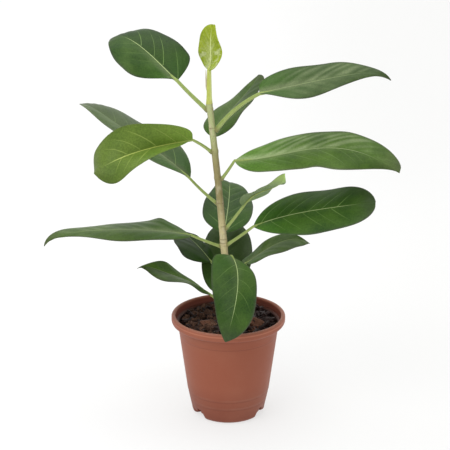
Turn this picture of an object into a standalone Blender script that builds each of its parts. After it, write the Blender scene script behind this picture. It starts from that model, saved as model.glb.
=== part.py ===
"""Potted ficus: one leaning stem with sixteen leaves in a round plastic nursery pot.

The frame is +Z up with the origin in the middle of the pot's flat underside. The side that
the plant shows to the viewer faces -Y. Sizes are in millimetres and angles in degrees until
they are scaled by MM. A heading is measured in plan from +X towards +Y, a pitch upwards from
the level.
"""
import math
from dataclasses import dataclass

import bmesh
import bpy
from mathutils import Vector, noise

MM = 0.001
GAP = 0.3

# The pot: a turned shell with a rolled rim and a flat underside cut up by three notches
RIM_RADIUS = 85.0
RIM_TOP = 156.0
RIM_MOUTH = 78.4
RIM_DEPTH = 13.6
WALL_TOP_RADIUS = 74.8
WALL_TOP = 137.4
WALL_KNEE_RADIUS = 63.4
WALL_KNEE = 46.0
FOOT_RADIUS = 47.8
FOOT_ROUND = 7.6
WALL = 2.3
FLOOR = 3.0
WALL_RINGS = (127.0, 38.0, 24.0)
RING_STEP = 0.35
RING_DROP = 1.0
STEP_FOOT = WALL_TOP + 4.0
STEP_TOP = WALL_TOP + 9.6
STEP_ROUND = 2.8
RIM_HEM = 3.0
RIM_NECK = (0.7, 2.8)
RIM_ARC_STEPS = 6
HEM_ARC_STEPS = 3
FOOT_ARC_STEPS = 4
POT_STEPS = 48
NOTCH_LIFT = 7.0
NOTCH_FADE = 20.0
NOTCH_CLEAR = NOTCH_FADE + 4.0
NOTCH_INNER = 41.0
NOTCH_SLOPE = 3.0
NOTCH_HALF_ANGLE = 15.5
NOTCH_SIDE_ANGLE = 8.0
NOTCH_HEADINGS = (94.0, 214.0, 334.0)
SLOT_RADIUS = 43.4
SLOT_SIZE = (3.6, 11.0, 30.0)

# The potting mix fills the pot to a little under the rim; its own gap allows for the taper
SOIL_TOP = 142.0
SOIL_EDGE_TOP = 139.5
SOIL_RINGS = 7
SOIL_LUMP = 3.2
SOIL_LUMP_SIZE = 17.0
SOIL_FLAT_RADIUS = 12.0
SOIL_GAP = 1.15 * GAP

# The stem leans to the left as it climbs, tapers a little and flares at its foot
STEM_TOP = 474.0
STEM_LEAN = 27.2
STEM_BEND = 1.4
STEM_RADIUS = 5.3
STEM_TAPER = 0.9
ROOT_FLARE = 1.3
FLARE_HEIGHT = 9.0
STEM_UPRIGHT = 2.5
STEM_SPANS = 30
STEM_SIDES = 3

# The dry sheath grows out of the foot of the young leaf's stalk and leans to the left
SHEATH_HEIGHT = 51.0
SHEATH_START = 2.2
SHEATH_LEAN = 7.0
SHEATH_RADIUS = 1.0
SHEATH_TIP = 0.5
SHEATH_SPANS = 5

# Every leaf is a blade on one stalk, which runs on as the midrib
BLADE_ROWS = 10
BLADE_COLUMNS = 6
BLADE_THICKNESS = 0.0112
BLADE_THINNEST = 1.6
MIDRIB_END = 0.86
MIDRIB_SPANS = 6
STALK_SPANS = 5
STALK_SIDES = 1
OUTLINE_POWER = 2.2
TAIL_POWER = 12
TAIL_START = 3.0
HOOK_POWER = 9
WALK_STEPS = 60

TERRACOTTA = (0.33, 0.105, 0.062)
SOIL_BROWN = (0.035, 0.022, 0.016)
BARK_TAN = (0.42, 0.33, 0.19)
LEAF_GREEN = (0.045, 0.115, 0.035)
BRIGHT_GREEN = (0.11, 0.22, 0.035)
YOUNG_GREEN = (0.36, 0.45, 0.05)

# A stalk's foot is moved outward in these steps until it clears the stem; both are faceted,
# so their flats lie a little inside their radius
CLEAR_STEP = 0.05
FOOT_TESTS = 12
FACET_REACH = 0.95


@dataclass
class Leaf:
    """One leaf: where its stalk leaves the stem and how stalk and blade run from there.

    A tuple of angles is read along the stalk or blade: base and tip, or base, middle and tip.
    A roll of more than 0 turns the blade down on the right of its heading, a fold lifts both
    halves, and the hook bends the last of the tip. Width, widest place and tapers are pairs,
    for the half on the left of the heading and the half on its right; a width is twice its
    half's, and the tail is how much of it runs on to the tip.
    """

    name: str
    node: float
    stalk: float
    stalk_heading: float
    stalk_pitch: tuple
    length: float
    width: tuple
    heading: tuple
    pitch: tuple
    roll: tuple = (0.0, 0.0)
    fold: tuple = (6.0, 6.0)
    hook: float = 0.0
    widest: tuple = (0.5, 0.5)
    base_taper: tuple = (0.62, 0.62)
    tip_taper: tuple = (0.75, 0.75)
    tail: float = 0.0
    stalk_radius: float = 3.0
    rib_radius: float = 2.3
    colour: tuple = LEAF_GREEN


LEAVES = (
    Leaf("leaf_tip_young", node=474, stalk=48, stalk_heading=90, stalk_pitch=(90, 90), length=67,
         width=(36, 64), heading=(20, 59, 58), pitch=(75, 90, 73), fold=(21, 19, 22),
         widest=(0.4, 0.12), base_taper=(0.39, 0.32), tip_taper=(0.99, 3), tail=0.26,
         roll=(0, -1, -2), hook=-79, stalk_radius=4.0, rib_radius=2.8, colour=YOUNG_GREEN),
    Leaf("leaf_upper_left", node=466, stalk=58, stalk_heading=155, stalk_pitch=(36, 42), length=130,
         width=(92, 106), heading=(151, 150, 150), pitch=(36, 33, 7), roll=(-22, -27, -6),
         fold=(-9, -7, -11), hook=-49, widest=(0.48, 0.22), base_taper=(1.69, 1.02),
         tip_taper=(0.52, 0.25), tail=0.01, stalk_radius=3.2, rib_radius=2.5),
    Leaf("leaf_top_right", node=438, stalk=80, stalk_heading=-8, stalk_pitch=(54, 28), length=188,
         width=(73, 65), heading=(-6, -8, -10), pitch=(15, 13, 12), roll=(18, 30, 7),
         fold=(26, -2, 1), hook=-61, widest=(0.52, 0.3), base_taper=(0.41, 0.83),
         tip_taper=(2.43, 3), tail=0.16),
    Leaf("leaf_upper_back", node=404, stalk=25, stalk_heading=95, stalk_pitch=(30, 45), length=147,
         width=(68, 60), heading=(57, 58, 57), pitch=(46, 23, 42), roll=(-7, -15, -13),
         fold=(7, 2, 4), widest=(0.28, 0.21), base_taper=(0.71, 0.65), tip_taper=(2.51, 0.43),
         hook=-4, tail=0.26),
    Leaf("leaf_left_front", node=406, stalk=33, stalk_heading=205, stalk_pitch=(41, 29), length=151,
         width=(70, 81), heading=(199, 198, 203), pitch=(-5, -12, -30), roll=(-70, -46, -23),
         fold=(49, 37, -38), widest=(0.76, 0.85), base_taper=(1.24, 0.31), tip_taper=(0.45, 1.17),
         hook=-3, colour=BRIGHT_GREEN),
    Leaf("leaf_mid_right", node=366, stalk=32, stalk_heading=-12, stalk_pitch=(54, 59), length=245,
         width=(88, 85), heading=(-12, -18, -12), pitch=(3, 9, -59), roll=(39, 23, 38),
         fold=(-7, -4, -11), hook=29, widest=(0.34, 0.61), base_taper=(0.98, 0.82),
         tip_taper=(0.36, 1.93), tail=0),
    Leaf("leaf_left_back", node=327, stalk=54, stalk_heading=150, stalk_pitch=(29, 40), length=215,
         width=(60, 112), heading=(150, 150, 149), pitch=(36, 25, 39), fold=(6, 2, -1), hook=-40,
         widest=(0.32, 0.49), base_taper=(1.75, 0.89), roll=(-13, 2, 11), tip_taper=(0.4, 0.12)),
    Leaf("leaf_small_right", node=292, stalk=44, stalk_heading=-20, stalk_pitch=(53, 55), length=113,
         width=(72, 46), heading=(-41, -52, -60), pitch=(61, 23, 50), roll=(-16, 2, -11),
         tip_taper=(1.57, 0.58), base_taper=(3.19, 0.43), widest=(0.2, 0.59), hook=34,
         fold=(4, 5, 5), tail=0.01),
    Leaf("leaf_centre_back", node=272, stalk=15, stalk_heading=88, stalk_pitch=(11, 16), length=170,
         width=(76, 77), heading=(82, 87, 90), pitch=(24, 14, 15), fold=(8, 3, 5),
         widest=(0.33, 0.33), tip_taper=(3, 2.21), roll=(0, 5, 18), base_taper=(0.69, 0.46),
         hook=-54, tail=0.45),
    Leaf("leaf_right_long", node=266, stalk=49, stalk_heading=-20, stalk_pitch=(37, 41), length=185,
         width=(92, 81), heading=(-20, -18, -9), pitch=(28, 15, 11), roll=(42, 31, 38),
         widest=(0.42, 0.59), base_taper=(0.95, 0.88), tip_taper=(0.56, 0.4), hook=4, tail=0.12,
         fold=(9, -8, 8)),
    Leaf("leaf_left_long", node=262, stalk=45, stalk_heading=185, stalk_pitch=(21, 26), length=221,
         width=(71, 106), heading=(188, 183, 182), pitch=(14, 0, -2), roll=(-10, -2, 0),
         fold=(6, -10, -8), hook=-55, widest=(0.44, 0.37), tip_taper=(3, 1.18), tail=0,
         base_taper=(0.55, 1.21)),
    Leaf("leaf_front", node=245, stalk=22, stalk_heading=292, stalk_pitch=(34, 20), length=156,
         width=(72, 75), heading=(285, 264, 226), pitch=(0, -37, -76), fold=(13, 12, 5),
         widest=(0.69, 0.34), base_taper=(1.91, 0.25), tip_taper=(0.91, 0.78), roll=(-4, 19, -10),
         hook=22),
    Leaf("leaf_low_left_back", node=222, stalk=30, stalk_heading=126, stalk_pitch=(8, 8), length=95,
         width=(83, 27), heading=(122, 122, 122), pitch=(23, 15, 3), fold=(8, 11, 10),
         widest=(0.28, 0.51), tip_taper=(0.82, 0.57), roll=(-1, 2, 2), base_taper=(0.52, 0.52),
         hook=5, tail=0.08),
    Leaf("leaf_low_right", node=216, stalk=27, stalk_heading=20, stalk_pitch=(32, 33), length=113,
         width=(45, 68), heading=(24, 16, 21), pitch=(27, 20, -34), roll=(-13, 5, 34),
         fold=(7, 5, 17), widest=(0.48, 0.46), base_taper=(0.12, 0.12), tip_taper=(2.78, 1.06),
         hook=-12),
    Leaf("leaf_low_back", node=178, stalk=12, stalk_heading=95, stalk_pitch=(10, 20), length=155,
         width=(77, 81), heading=(89, 91, 92), pitch=(31, 28, 18), fold=(1, 7, 4), roll=(-20, 2, -7),
         widest=(0.37, 0.52), base_taper=(0.46, 0.64), tip_taper=(0.67, 0.48), hook=0, tail=0),
    Leaf("leaf_low_left", node=172, stalk=21, stalk_heading=190, stalk_pitch=(38, 41), length=124,
         width=(92, 54), heading=(185, 184, 182), pitch=(48, 23, 47), roll=(-10, 2, -42),
         fold=(-7, 9, 4), widest=(0.6, 0.62), base_taper=(1.35, 5), tip_taper=(3, 2.84), hook=-94,
         tail=0.05),
)


def clear_scene():
    """Remove whatever the scene starts with."""
    for obj in list(bpy.data.objects):
        bpy.data.objects.remove(obj, do_unlink=True)


def new_collection(name):
    """Make a collection in the scene."""
    collection = bpy.data.collections.new(name)
    bpy.context.scene.collection.children.link(collection)
    return collection


def make_material(name, colour, roughness):
    """Make a plain non-metal finish."""
    material = bpy.data.materials.new(name)
    material.use_nodes = True
    shader = material.node_tree.nodes["Principled BSDF"]
    shader.inputs["Base Color"].default_value = (*colour, 1.0)
    shader.inputs["Roughness"].default_value = roughness
    shader.inputs["Metallic"].default_value = 0.0
    return material


def mesh_from(bm, name):
    """Write a bmesh to a new mesh and free it."""
    mesh = bpy.data.meshes.new(name)
    bm.to_mesh(mesh)
    bm.free()
    return mesh


def place(name, mesh, collection):
    """Put a mesh in a collection as an object."""
    obj = bpy.data.objects.new(name, mesh)
    collection.objects.link(obj)
    return obj


def finish(obj, material, sharp=35.0):
    """Dress a piece and shade it smooth up to its sharp edges."""
    obj.data.materials.clear()
    obj.data.materials.append(material)
    obj.data.shade_smooth()
    obj.data.set_sharp_from_angle(angle=math.radians(sharp))


def evaluated_mesh(obj):
    """Give the object's mesh with its modifiers applied."""
    graph = bpy.context.evaluated_depsgraph_get()
    return bpy.data.meshes.new_from_object(obj.evaluated_get(graph))


def bake(obj):
    """Apply all of an object's modifiers."""
    mesh = evaluated_mesh(obj)
    obj.modifiers.clear()
    obj.data = mesh


def arc(radius_out, height, size, start, end, count):
    """Points of a round stretch of a turned outline, about a centre, by angle from +X."""
    points = []
    for step in range(count + 1):
        angle = math.radians(start + (end - start) * step / count)
        points.append((radius_out + size * math.cos(angle), height + size * math.sin(angle)))
    return points


def wall_radius(height):
    """Outer radius of the pot's wall, which widens less above its knee."""
    if height > WALL_KNEE:
        share = (height - WALL_KNEE) / (WALL_TOP - WALL_KNEE)
        return WALL_KNEE_RADIUS + (WALL_TOP_RADIUS - WALL_KNEE_RADIUS) * share
    low_radius = FOOT_RADIUS + FOOT_ROUND
    share = (height - FOOT_ROUND) / (WALL_KNEE - FOOT_ROUND)
    return low_radius + (WALL_KNEE_RADIUS - low_radius) * share


def turned(name, profile, steps, collection):
    """Turn an outline about Z; it starts and ends on the axis and runs down its outer side."""
    bm = bmesh.new()
    verts = [bm.verts.new((radius * MM, 0.0, height * MM)) for radius, height in profile]
    for first, second in zip(verts, verts[1:]):
        bm.edges.new((first, second))
    obj = place(name, mesh_from(bm, name), collection)
    screw = obj.modifiers.new("turn", "SCREW")
    screw.steps = steps
    screw.render_steps = steps
    screw.use_merge_vertices = True
    screw.merge_threshold = 0.00001
    bake(obj)
    return obj


def inner_radius(height):
    """Inner radius of the pot's wall between its floor and its rim."""
    knee_radius = WALL_KNEE_RADIUS - WALL
    if height > WALL_KNEE:
        share = (height - WALL_KNEE) / (STEP_FOOT - WALL_KNEE)
        return knee_radius + (WALL_TOP_RADIUS - WALL - knee_radius) * share
    low = FOOT_ROUND + FLOOR / 2
    share = (height - low) / (WALL_KNEE - low)
    low_radius = wall_radius(FOOT_ROUND) - WALL
    return low_radius + (knee_radius - low_radius) * share


def pot_profile():
    """Outline of the pot's wall, from the floor inside, over the rim, to the underside."""
    lip = (RIM_RADIUS - RIM_MOUTH) / 2
    lip_base = RIM_TOP - RIM_DEPTH
    inner_top = WALL_TOP_RADIUS - WALL
    profile = [(0.0, FLOOR), (NOTCH_INNER - NOTCH_SLOPE, FLOOR), (NOTCH_INNER, FLOOR)]
    profile += [(FOOT_RADIUS - WALL, FLOOR)]
    profile += [(wall_radius(FOOT_ROUND) - WALL, FOOT_ROUND + FLOOR / 2)]
    profile += [(inner_radius(NOTCH_CLEAR), NOTCH_CLEAR)]
    profile += [(inner_radius(WALL_KNEE), WALL_KNEE)]
    profile += [(inner_top, STEP_FOOT), (inner_top + STEP_ROUND / 2, STEP_TOP - STEP_ROUND)]
    profile += [(RIM_MOUTH - STEP_ROUND / 2, STEP_TOP)]
    profile += arc(RIM_MOUTH + lip, RIM_TOP - lip, lip, 180, 0, RIM_ARC_STEPS)
    profile += arc(RIM_RADIUS - RIM_HEM, lip_base + RIM_HEM, RIM_HEM, 0, -90, HEM_ARC_STEPS)
    neck_out, neck_down = RIM_NECK
    profile += [(WALL_TOP_RADIUS + RIM_HEM, lip_base - neck_out)]
    profile += [(WALL_TOP_RADIUS + neck_out, lip_base - neck_down)]
    profile += [(WALL_TOP_RADIUS, WALL_TOP)]
    for ring in WALL_RINGS:
        if ring < WALL_KNEE < profile[-1][1]:
            profile += [(WALL_KNEE_RADIUS, WALL_KNEE)]
        profile += [(wall_radius(ring), ring), (wall_radius(ring) - RING_STEP, ring - RING_DROP)]
    profile += arc(FOOT_RADIUS, FOOT_ROUND, FOOT_ROUND, 0, -90, FOOT_ARC_STEPS)
    profile += [(NOTCH_INNER, 0.0), (NOTCH_INNER - NOTCH_SLOPE, 0.0), (0.0, 0.0)]
    return profile


def raise_notches(obj):
    """Lift the foot of a turned piece over the three notches, the more the lower it lies.

    The faces that bend are split along their shorter diagonal, so that the pot's floor and
    the potting mix on it bend alike.
    """
    bm = bmesh.new()
    bm.from_mesh(obj.data)
    bent = set()
    for vert in bm.verts:
        height = vert.co.z / MM
        radius = math.hypot(vert.co.x, vert.co.y) / MM
        if height > NOTCH_FADE or radius < NOTCH_INNER - NOTCH_SLOPE / 2:
            continue
        heading = math.degrees(math.atan2(vert.co.y, vert.co.x))
        offsets = [abs((heading - notch + 180) % 360 - 180) for notch in NOTCH_HEADINGS]
        strength = (NOTCH_HALF_ANGLE - min(offsets)) / NOTCH_SIDE_ANGLE
        if strength > 0:
            vert.co.z += NOTCH_LIFT * min(1.0, strength) * (1 - height / NOTCH_FADE) * MM
            bent.update(vert.link_faces)
    bmesh.ops.triangulate(bm, faces=list(bent), quad_method="SHORT_EDGE")
    bm.to_mesh(obj.data)
    bm.free()


def build_pot(parts, cutters):
    """Turn the pot, raise its three notches and cut a drain slot in the roof of each."""
    pot = turned("pot", pot_profile(), POT_STEPS, parts)
    raise_notches(pot)
    for number, heading in enumerate(NOTCH_HEADINGS, start=1):
        turn = math.radians(heading)
        centre = (SLOT_RADIUS * math.cos(turn) * MM, SLOT_RADIUS * math.sin(turn) * MM, 0.0)
        bpy.ops.mesh.primitive_cube_add(size=1.0, location=centre, rotation=(0.0, 0.0, turn))
        cutter = bpy.context.object
        cutter.name = f"slot_cutter_{number}"
        cutter.scale = [side * MM for side in SLOT_SIZE]
        cutter.hide_render = True
        cutter.display_type = "WIRE"
        for holder in list(cutter.users_collection):
            holder.objects.unlink(cutter)
        cutters.objects.link(cutter)
    cut = pot.modifiers.new("drain_slots", "BOOLEAN")
    cut.operation = "DIFFERENCE"
    cut.operand_type = "COLLECTION"
    cut.collection = cutters
    finish(pot, make_material("terracotta_plastic", TERRACOTTA, 0.5))
    return pot


def soil_surface(x, y):
    """Height of the potting mix at a place: flat round the stem, lumpy towards the wall."""
    edge = inner_radius(SOIL_EDGE_TOP) - SOIL_GAP
    outward = max(0.0, (math.hypot(x, y) - SOIL_FLAT_RADIUS) / (edge - SOIL_FLAT_RADIUS))
    level = SOIL_TOP + (SOIL_EDGE_TOP - SOIL_TOP) * outward
    strength = min(1.0, 3.0 * outward, 6.0 * (1.0 - outward))
    return level + SOIL_LUMP * strength * noise.noise(Vector((x, y, 0.0)) / SOIL_LUMP_SIZE)


def build_soil(parts):
    """Fill the pot with a turned body, then raise lumps on its top."""
    edge = inner_radius(SOIL_EDGE_TOP) - SOIL_GAP
    flat = SOIL_FLAT_RADIUS
    rings = [flat + (edge - flat) * step / SOIL_RINGS for step in range(SOIL_RINGS + 1)]
    profile = [(0.0, SOIL_TOP)]
    profile += [(radius, SOIL_TOP) for radius in rings]
    profile += [(inner_radius(WALL_KNEE) - SOIL_GAP, WALL_KNEE)]
    profile += [(inner_radius(NOTCH_CLEAR) - SOIL_GAP, NOTCH_CLEAR)]
    low = FOOT_ROUND + FLOOR / 2
    profile += [(inner_radius(low) - SOIL_GAP, low + GAP / 2)]
    profile += [(FOOT_RADIUS - WALL - SOIL_GAP, FLOOR + SOIL_GAP)]
    profile += [(NOTCH_INNER, FLOOR + SOIL_GAP), (NOTCH_INNER - NOTCH_SLOPE, FLOOR + SOIL_GAP)]
    profile += [(0.0, FLOOR + SOIL_GAP)]
    soil = turned("potting_mix", profile, POT_STEPS, parts)
    for vert in soil.data.vertices:
        if vert.co.z > (SOIL_TOP - 1.0) * MM:
            vert.co.z = soil_surface(vert.co.x / MM, vert.co.y / MM) * MM
    raise_notches(soil)
    finish(soil, make_material("dark_potting_mix", SOIL_BROWN, 0.95))
    return soil


def stem_centre(height):
    """Centre of the stem at a height; it starts upright and leans more as it climbs."""
    share = max(0.0, (height - SOIL_TOP) / (STEM_TOP - SOIL_TOP))
    return Vector((-STEM_LEAN * share ** STEM_BEND, 0.0, height))


def stem_radius(height):
    """Radius of the stem: a slow taper and the root flare."""
    share = max(0.0, (height - SOIL_TOP) / (STEM_TOP - SOIL_TOP))
    radius = STEM_RADIUS - STEM_TAPER * share ** 2
    return radius + ROOT_FLARE * math.exp(-(height - SOIL_TOP) / FLARE_HEIGHT)


def tube(name, points, radii, sides, collection):
    """Make a closed mesh tube through points in millimetres, with a radius at each."""
    curve = bpy.data.curves.new(name, "CURVE")
    curve.dimensions = "3D"
    curve.bevel_depth = MM
    curve.bevel_resolution = sides
    curve.use_fill_caps = True
    spline = curve.splines.new("POLY")
    spline.points.add(len(points) - 1)
    for knot, point, radius in zip(spline.points, points, radii):
        knot.co = (*(point * MM), 1.0)
        knot.radius = radius
    route = place(name + "_route", curve, collection)
    bpy.context.view_layer.update()
    bm = bmesh.new()
    bm.from_mesh(evaluated_mesh(route))
    bmesh.ops.remove_doubles(bm, verts=bm.verts, dist=0.00001)
    obj = place(name, mesh_from(bm, name), collection)
    obj.matrix_world = route.matrix_world
    bpy.data.objects.remove(route, do_unlink=True)
    return obj


def build_stem(parts):
    """Build the stem from its flat cut on the potting mix to its flat top."""
    foot = SOIL_TOP + GAP
    top = STEM_TOP
    heights = [foot, foot + STEM_UPRIGHT]
    run = top - STEM_UPRIGHT - heights[-1]
    for step in range(1, STEM_SPANS + 1):
        heights.append(heights[1] + run * step / STEM_SPANS)
    points = [stem_centre(height) for height in heights]
    points[1].x = points[0].x
    points.append(Vector((points[-1].x, 0.0, top)))
    heights.append(top)
    radii = [stem_radius(height) for height in heights]
    stem = tube("stem", points, radii, STEM_SIDES, parts)
    finish(stem, make_material("tan_bark", BARK_TAN, 0.8))
    return stem


def along(values, share):
    """Read a run of two or three values at a share of the way along it."""
    if len(values) == 2:
        return values[0] + (values[1] - values[0]) * share
    base, middle, tip = values
    base_part = base * (1 - share) * (1 - 2 * share)
    return base_part + 4 * middle * share * (1 - share) + tip * share * (2 * share - 1)


def direction(heading, pitch):
    """Unit vector of a heading and pitch in degrees."""
    turn = math.radians(heading)
    climb = math.radians(pitch)
    level = math.cos(climb)
    return Vector((level * math.cos(turn), level * math.sin(turn), math.sin(climb)))


def clears_stem(centre, leaf):
    """Tell whether the sides of a stalk's end disc lie a gap clear of the stem."""
    across = direction(leaf.stalk_heading - 90, 0.0)
    upward = across.cross(direction(leaf.stalk_heading, leaf.stalk_pitch[0]))
    for test in range(FOOT_TESTS):
        turn = 2 * math.pi * test / FOOT_TESTS
        outward = across * math.cos(turn) + upward * math.sin(turn)
        rim = centre + outward * (leaf.stalk_radius * FACET_REACH)
        reach = stem_radius(rim.z) * FACET_REACH + GAP
        if math.dist(rim.xy, stem_centre(rim.z).xy) < reach:
            return False
    return True


def stalk_foot(leaf):
    """Where the stalk starts: on the stem's top, or with its end disc beside the stem."""
    if leaf.stalk_pitch[0] >= 90:
        return Vector((stem_centre(STEM_TOP - STEM_UPRIGHT).x, 0.0, STEM_TOP + GAP))
    foot = stem_centre(leaf.node)
    outward = direction(leaf.stalk_heading, 0.0)
    while not clears_stem(foot, leaf):
        foot = foot + outward * CLEAR_STEP
    return foot


def stalk_points(leaf):
    """Centre line of the stalk, from the stem to the base of the blade."""
    point = stalk_foot(leaf)
    points = [point.copy()]
    span = leaf.stalk / STALK_SPANS
    for step in range(STALK_SPANS):
        pitch = along(leaf.stalk_pitch, (step + 0.5) / STALK_SPANS)
        point = point + direction(leaf.stalk_heading, pitch) * span
        points.append(point)
    return points


def rib_angles(leaf, share):
    """Heading and pitch of the midrib at a share of the blade's length."""
    pitch = along(leaf.pitch, share) + leaf.hook * share ** HOOK_POWER
    return along(leaf.heading, share), pitch


def rib_points(leaf):
    """Fine points of the midrib, from the end of the stalk to the tip."""
    point = stalk_points(leaf)[-1]
    points = [point.copy()]
    for step in range(WALK_STEPS):
        heading, pitch = rib_angles(leaf, (step + 0.5) / WALK_STEPS)
        point = point + direction(heading, pitch) * (leaf.length / WALK_STEPS)
        points.append(point)
    return points


def rib_at(points, share):
    """Point of the midrib at a share of its length."""
    place_on = min(share, 1.0) * WALK_STEPS
    index = min(int(place_on), WALK_STEPS - 1)
    return points[index].lerp(points[index + 1], place_on - index)


def half_width(leaf, share, half):
    """Width of the left (0) or right (1) half of the blade at a share of its length."""
    widest = leaf.widest[half]
    if share <= widest:
        reach = 1 - share / widest
        taper = leaf.base_taper[half]
    else:
        reach = (share - widest) / (1 - widest)
        taper = leaf.tip_taper[half]
    shape = max(0.0, 1 - reach ** OUTLINE_POWER) ** taper
    tail = leaf.tail * (1 - share ** TAIL_POWER) * min(1.0, TAIL_START * share)
    return leaf.width[half] / 2 * (shape + tail * (1 - shape))


def blade_point(leaf, points, share, across):
    """Point of the blade at a share of its length and a place across it, -1 to 1."""
    heading, pitch = rib_angles(leaf, share)
    turn = math.radians(heading)
    side = Vector((math.sin(turn), -math.cos(turn), 0.0))
    up = side.cross(direction(heading, pitch))
    roll = math.radians(along(leaf.roll, share))
    rolled_side = side * math.cos(roll) - up * math.sin(roll)
    rolled_up = up * math.cos(roll) + side * math.sin(roll)
    fold = math.radians(along(leaf.fold, share))
    half = half_width(leaf, share, 1 if across > 0 else 0)
    outward = rolled_side * (across * half * math.cos(fold))
    lift = rolled_up * (abs(across) * half * math.sin(fold))
    return rib_at(points, share) + outward + lift


def blade(leaf, points, collection):
    """Shape a grid into the blade and give it its thickness."""
    bm = bmesh.new()
    bmesh.ops.create_grid(bm, x_segments=BLADE_COLUMNS, y_segments=BLADE_ROWS, size=1.0)
    for vert in bm.verts:
        share = (vert.co.y + 1) / 2
        vert.co = blade_point(leaf, points, share, vert.co.x) * MM
    bmesh.ops.remove_doubles(bm, verts=bm.verts, dist=0.00005)
    obj = place(leaf.name, mesh_from(bm, leaf.name), collection)
    shell = obj.modifiers.new("thickness", "SOLIDIFY")
    shell.thickness = max(BLADE_THINNEST, BLADE_THICKNESS * leaf.length) * MM
    shell.offset = 0.0
    bake(obj)
    return obj


def stalk_and_rib(leaf, points, collection):
    """Make the stalk and the midrib it runs on as, sunk into the blade towards the tip."""
    line = stalk_points(leaf)
    radii = [leaf.stalk_radius] * len(line)
    for step in range(1, len(line)):
        radii[step] += (leaf.rib_radius - leaf.stalk_radius) * step / STALK_SPANS
    sunk = 0.25 * max(BLADE_THINNEST, BLADE_THICKNESS * leaf.length)
    for step in range(1, MIDRIB_SPANS + 1):
        share = MIDRIB_END * step / MIDRIB_SPANS
        line.append(rib_at(points, share))
        radii.append(leaf.rib_radius + (sunk - leaf.rib_radius) * step / MIDRIB_SPANS)
    return tube(leaf.name + "_rib", line, radii, STALK_SIDES, collection)


def sheath(grafts):
    """Make the dry sheath: a thin spike from inside the young leaf's stalk, up and left."""
    foot = Vector((stem_centre(STEM_TOP - STEM_UPRIGHT).x, 0.0, STEM_TOP + GAP))
    foot += Vector((-SHEATH_START, 0.0, SHEATH_RADIUS))
    points = []
    radii = []
    for step in range(SHEATH_SPANS + 1):
        share = step / SHEATH_SPANS
        lean = SHEATH_LEAN * share ** 0.6
        points.append(foot + Vector((-lean, 0.0, SHEATH_HEIGHT * share)))
        radii.append(SHEATH_RADIUS + (SHEATH_TIP - SHEATH_RADIUS) * share)
    return tube("dry_sheath", points, radii, STALK_SIDES, grafts)


def build_leaf(leaf, parts, grafts):
    """Join a blade with its stalk and midrib into one solid."""
    points = rib_points(leaf)
    solid = blade(leaf, points, parts)
    pieces = [stalk_and_rib(leaf, points, grafts)]
    if leaf.node >= STEM_TOP:
        pieces.append(sheath(grafts))
    join = solid.modifiers.new("join_pieces", "BOOLEAN")
    join.operation = "UNION"
    join.operand_type = "COLLECTION"
    join.collection = grafts
    bake(solid)
    for piece in pieces:
        bpy.data.objects.remove(piece, do_unlink=True)
    finish(solid, make_material(leaf.name + "_green", leaf.colour, 0.42))
    return solid


def build():
    """Build the whole plant in its pot."""
    clear_scene()
    parts = new_collection("potted_ficus")
    cutters = new_collection("cutters")
    grafts = new_collection("grafts")
    build_pot(parts, cutters)
    build_soil(parts)
    build_stem(parts)
    for leaf in LEAVES:
        build_leaf(leaf, parts, grafts)
    bpy.data.collections.remove(grafts)


build()
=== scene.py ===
"""Looks of the potted ficus: fine leaves, bark, potting mix and moulded plastic.

The solid frame is +Z up with its origin under the middle of the pot, and the viewer stands
on the -Y side. Sizes are in millimetres and angles in degrees, which MM and math.radians
turn into Blender's units. The studio alone is given in metres.
"""
import logging
import math
import random
from dataclasses import dataclass, replace
from enum import Enum
from typing import Callable, Optional, Sequence, Union

import bpy
import numpy as np
from bpy.types import Material, Mesh, Modifier, Node, NodeSocket, Object
from mathutils import Matrix, Vector, noise


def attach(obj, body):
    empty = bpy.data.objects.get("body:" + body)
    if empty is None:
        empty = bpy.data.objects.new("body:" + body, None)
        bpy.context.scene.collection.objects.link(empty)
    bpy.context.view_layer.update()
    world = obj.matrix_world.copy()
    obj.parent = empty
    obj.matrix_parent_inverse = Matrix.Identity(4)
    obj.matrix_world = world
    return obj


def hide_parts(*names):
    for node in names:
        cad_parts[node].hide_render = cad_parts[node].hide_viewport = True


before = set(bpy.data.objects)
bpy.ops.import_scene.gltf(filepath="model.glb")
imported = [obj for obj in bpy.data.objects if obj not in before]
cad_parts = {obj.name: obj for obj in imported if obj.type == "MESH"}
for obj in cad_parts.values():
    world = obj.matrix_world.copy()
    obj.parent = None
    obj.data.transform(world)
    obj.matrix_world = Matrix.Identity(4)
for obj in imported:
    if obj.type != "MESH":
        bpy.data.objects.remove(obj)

LOG = logging.getLogger("potted_ficus")
BODY = "root"
MM = 0.001
WELD = 0.02 * MM
REACH_UNIT = 10.0
POT_RINGS = (127.0, 38.0, 24.0)

Pair = tuple[float, float]
Triple = tuple[float, float, float]
Colour = Triple
Band = Pair
Number = Union[float, "Channel"]


class Slot(Enum):
    """Material slots of the record that a piece takes its finish from."""

    POT = "terracotta_plastic"
    MIX = "potting_mix"
    BARK = "bark"
    GREEN = "green_leaf"
    BRIGHT = "bright_leaf"
    YOUNG = "young_leaf"


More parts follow.
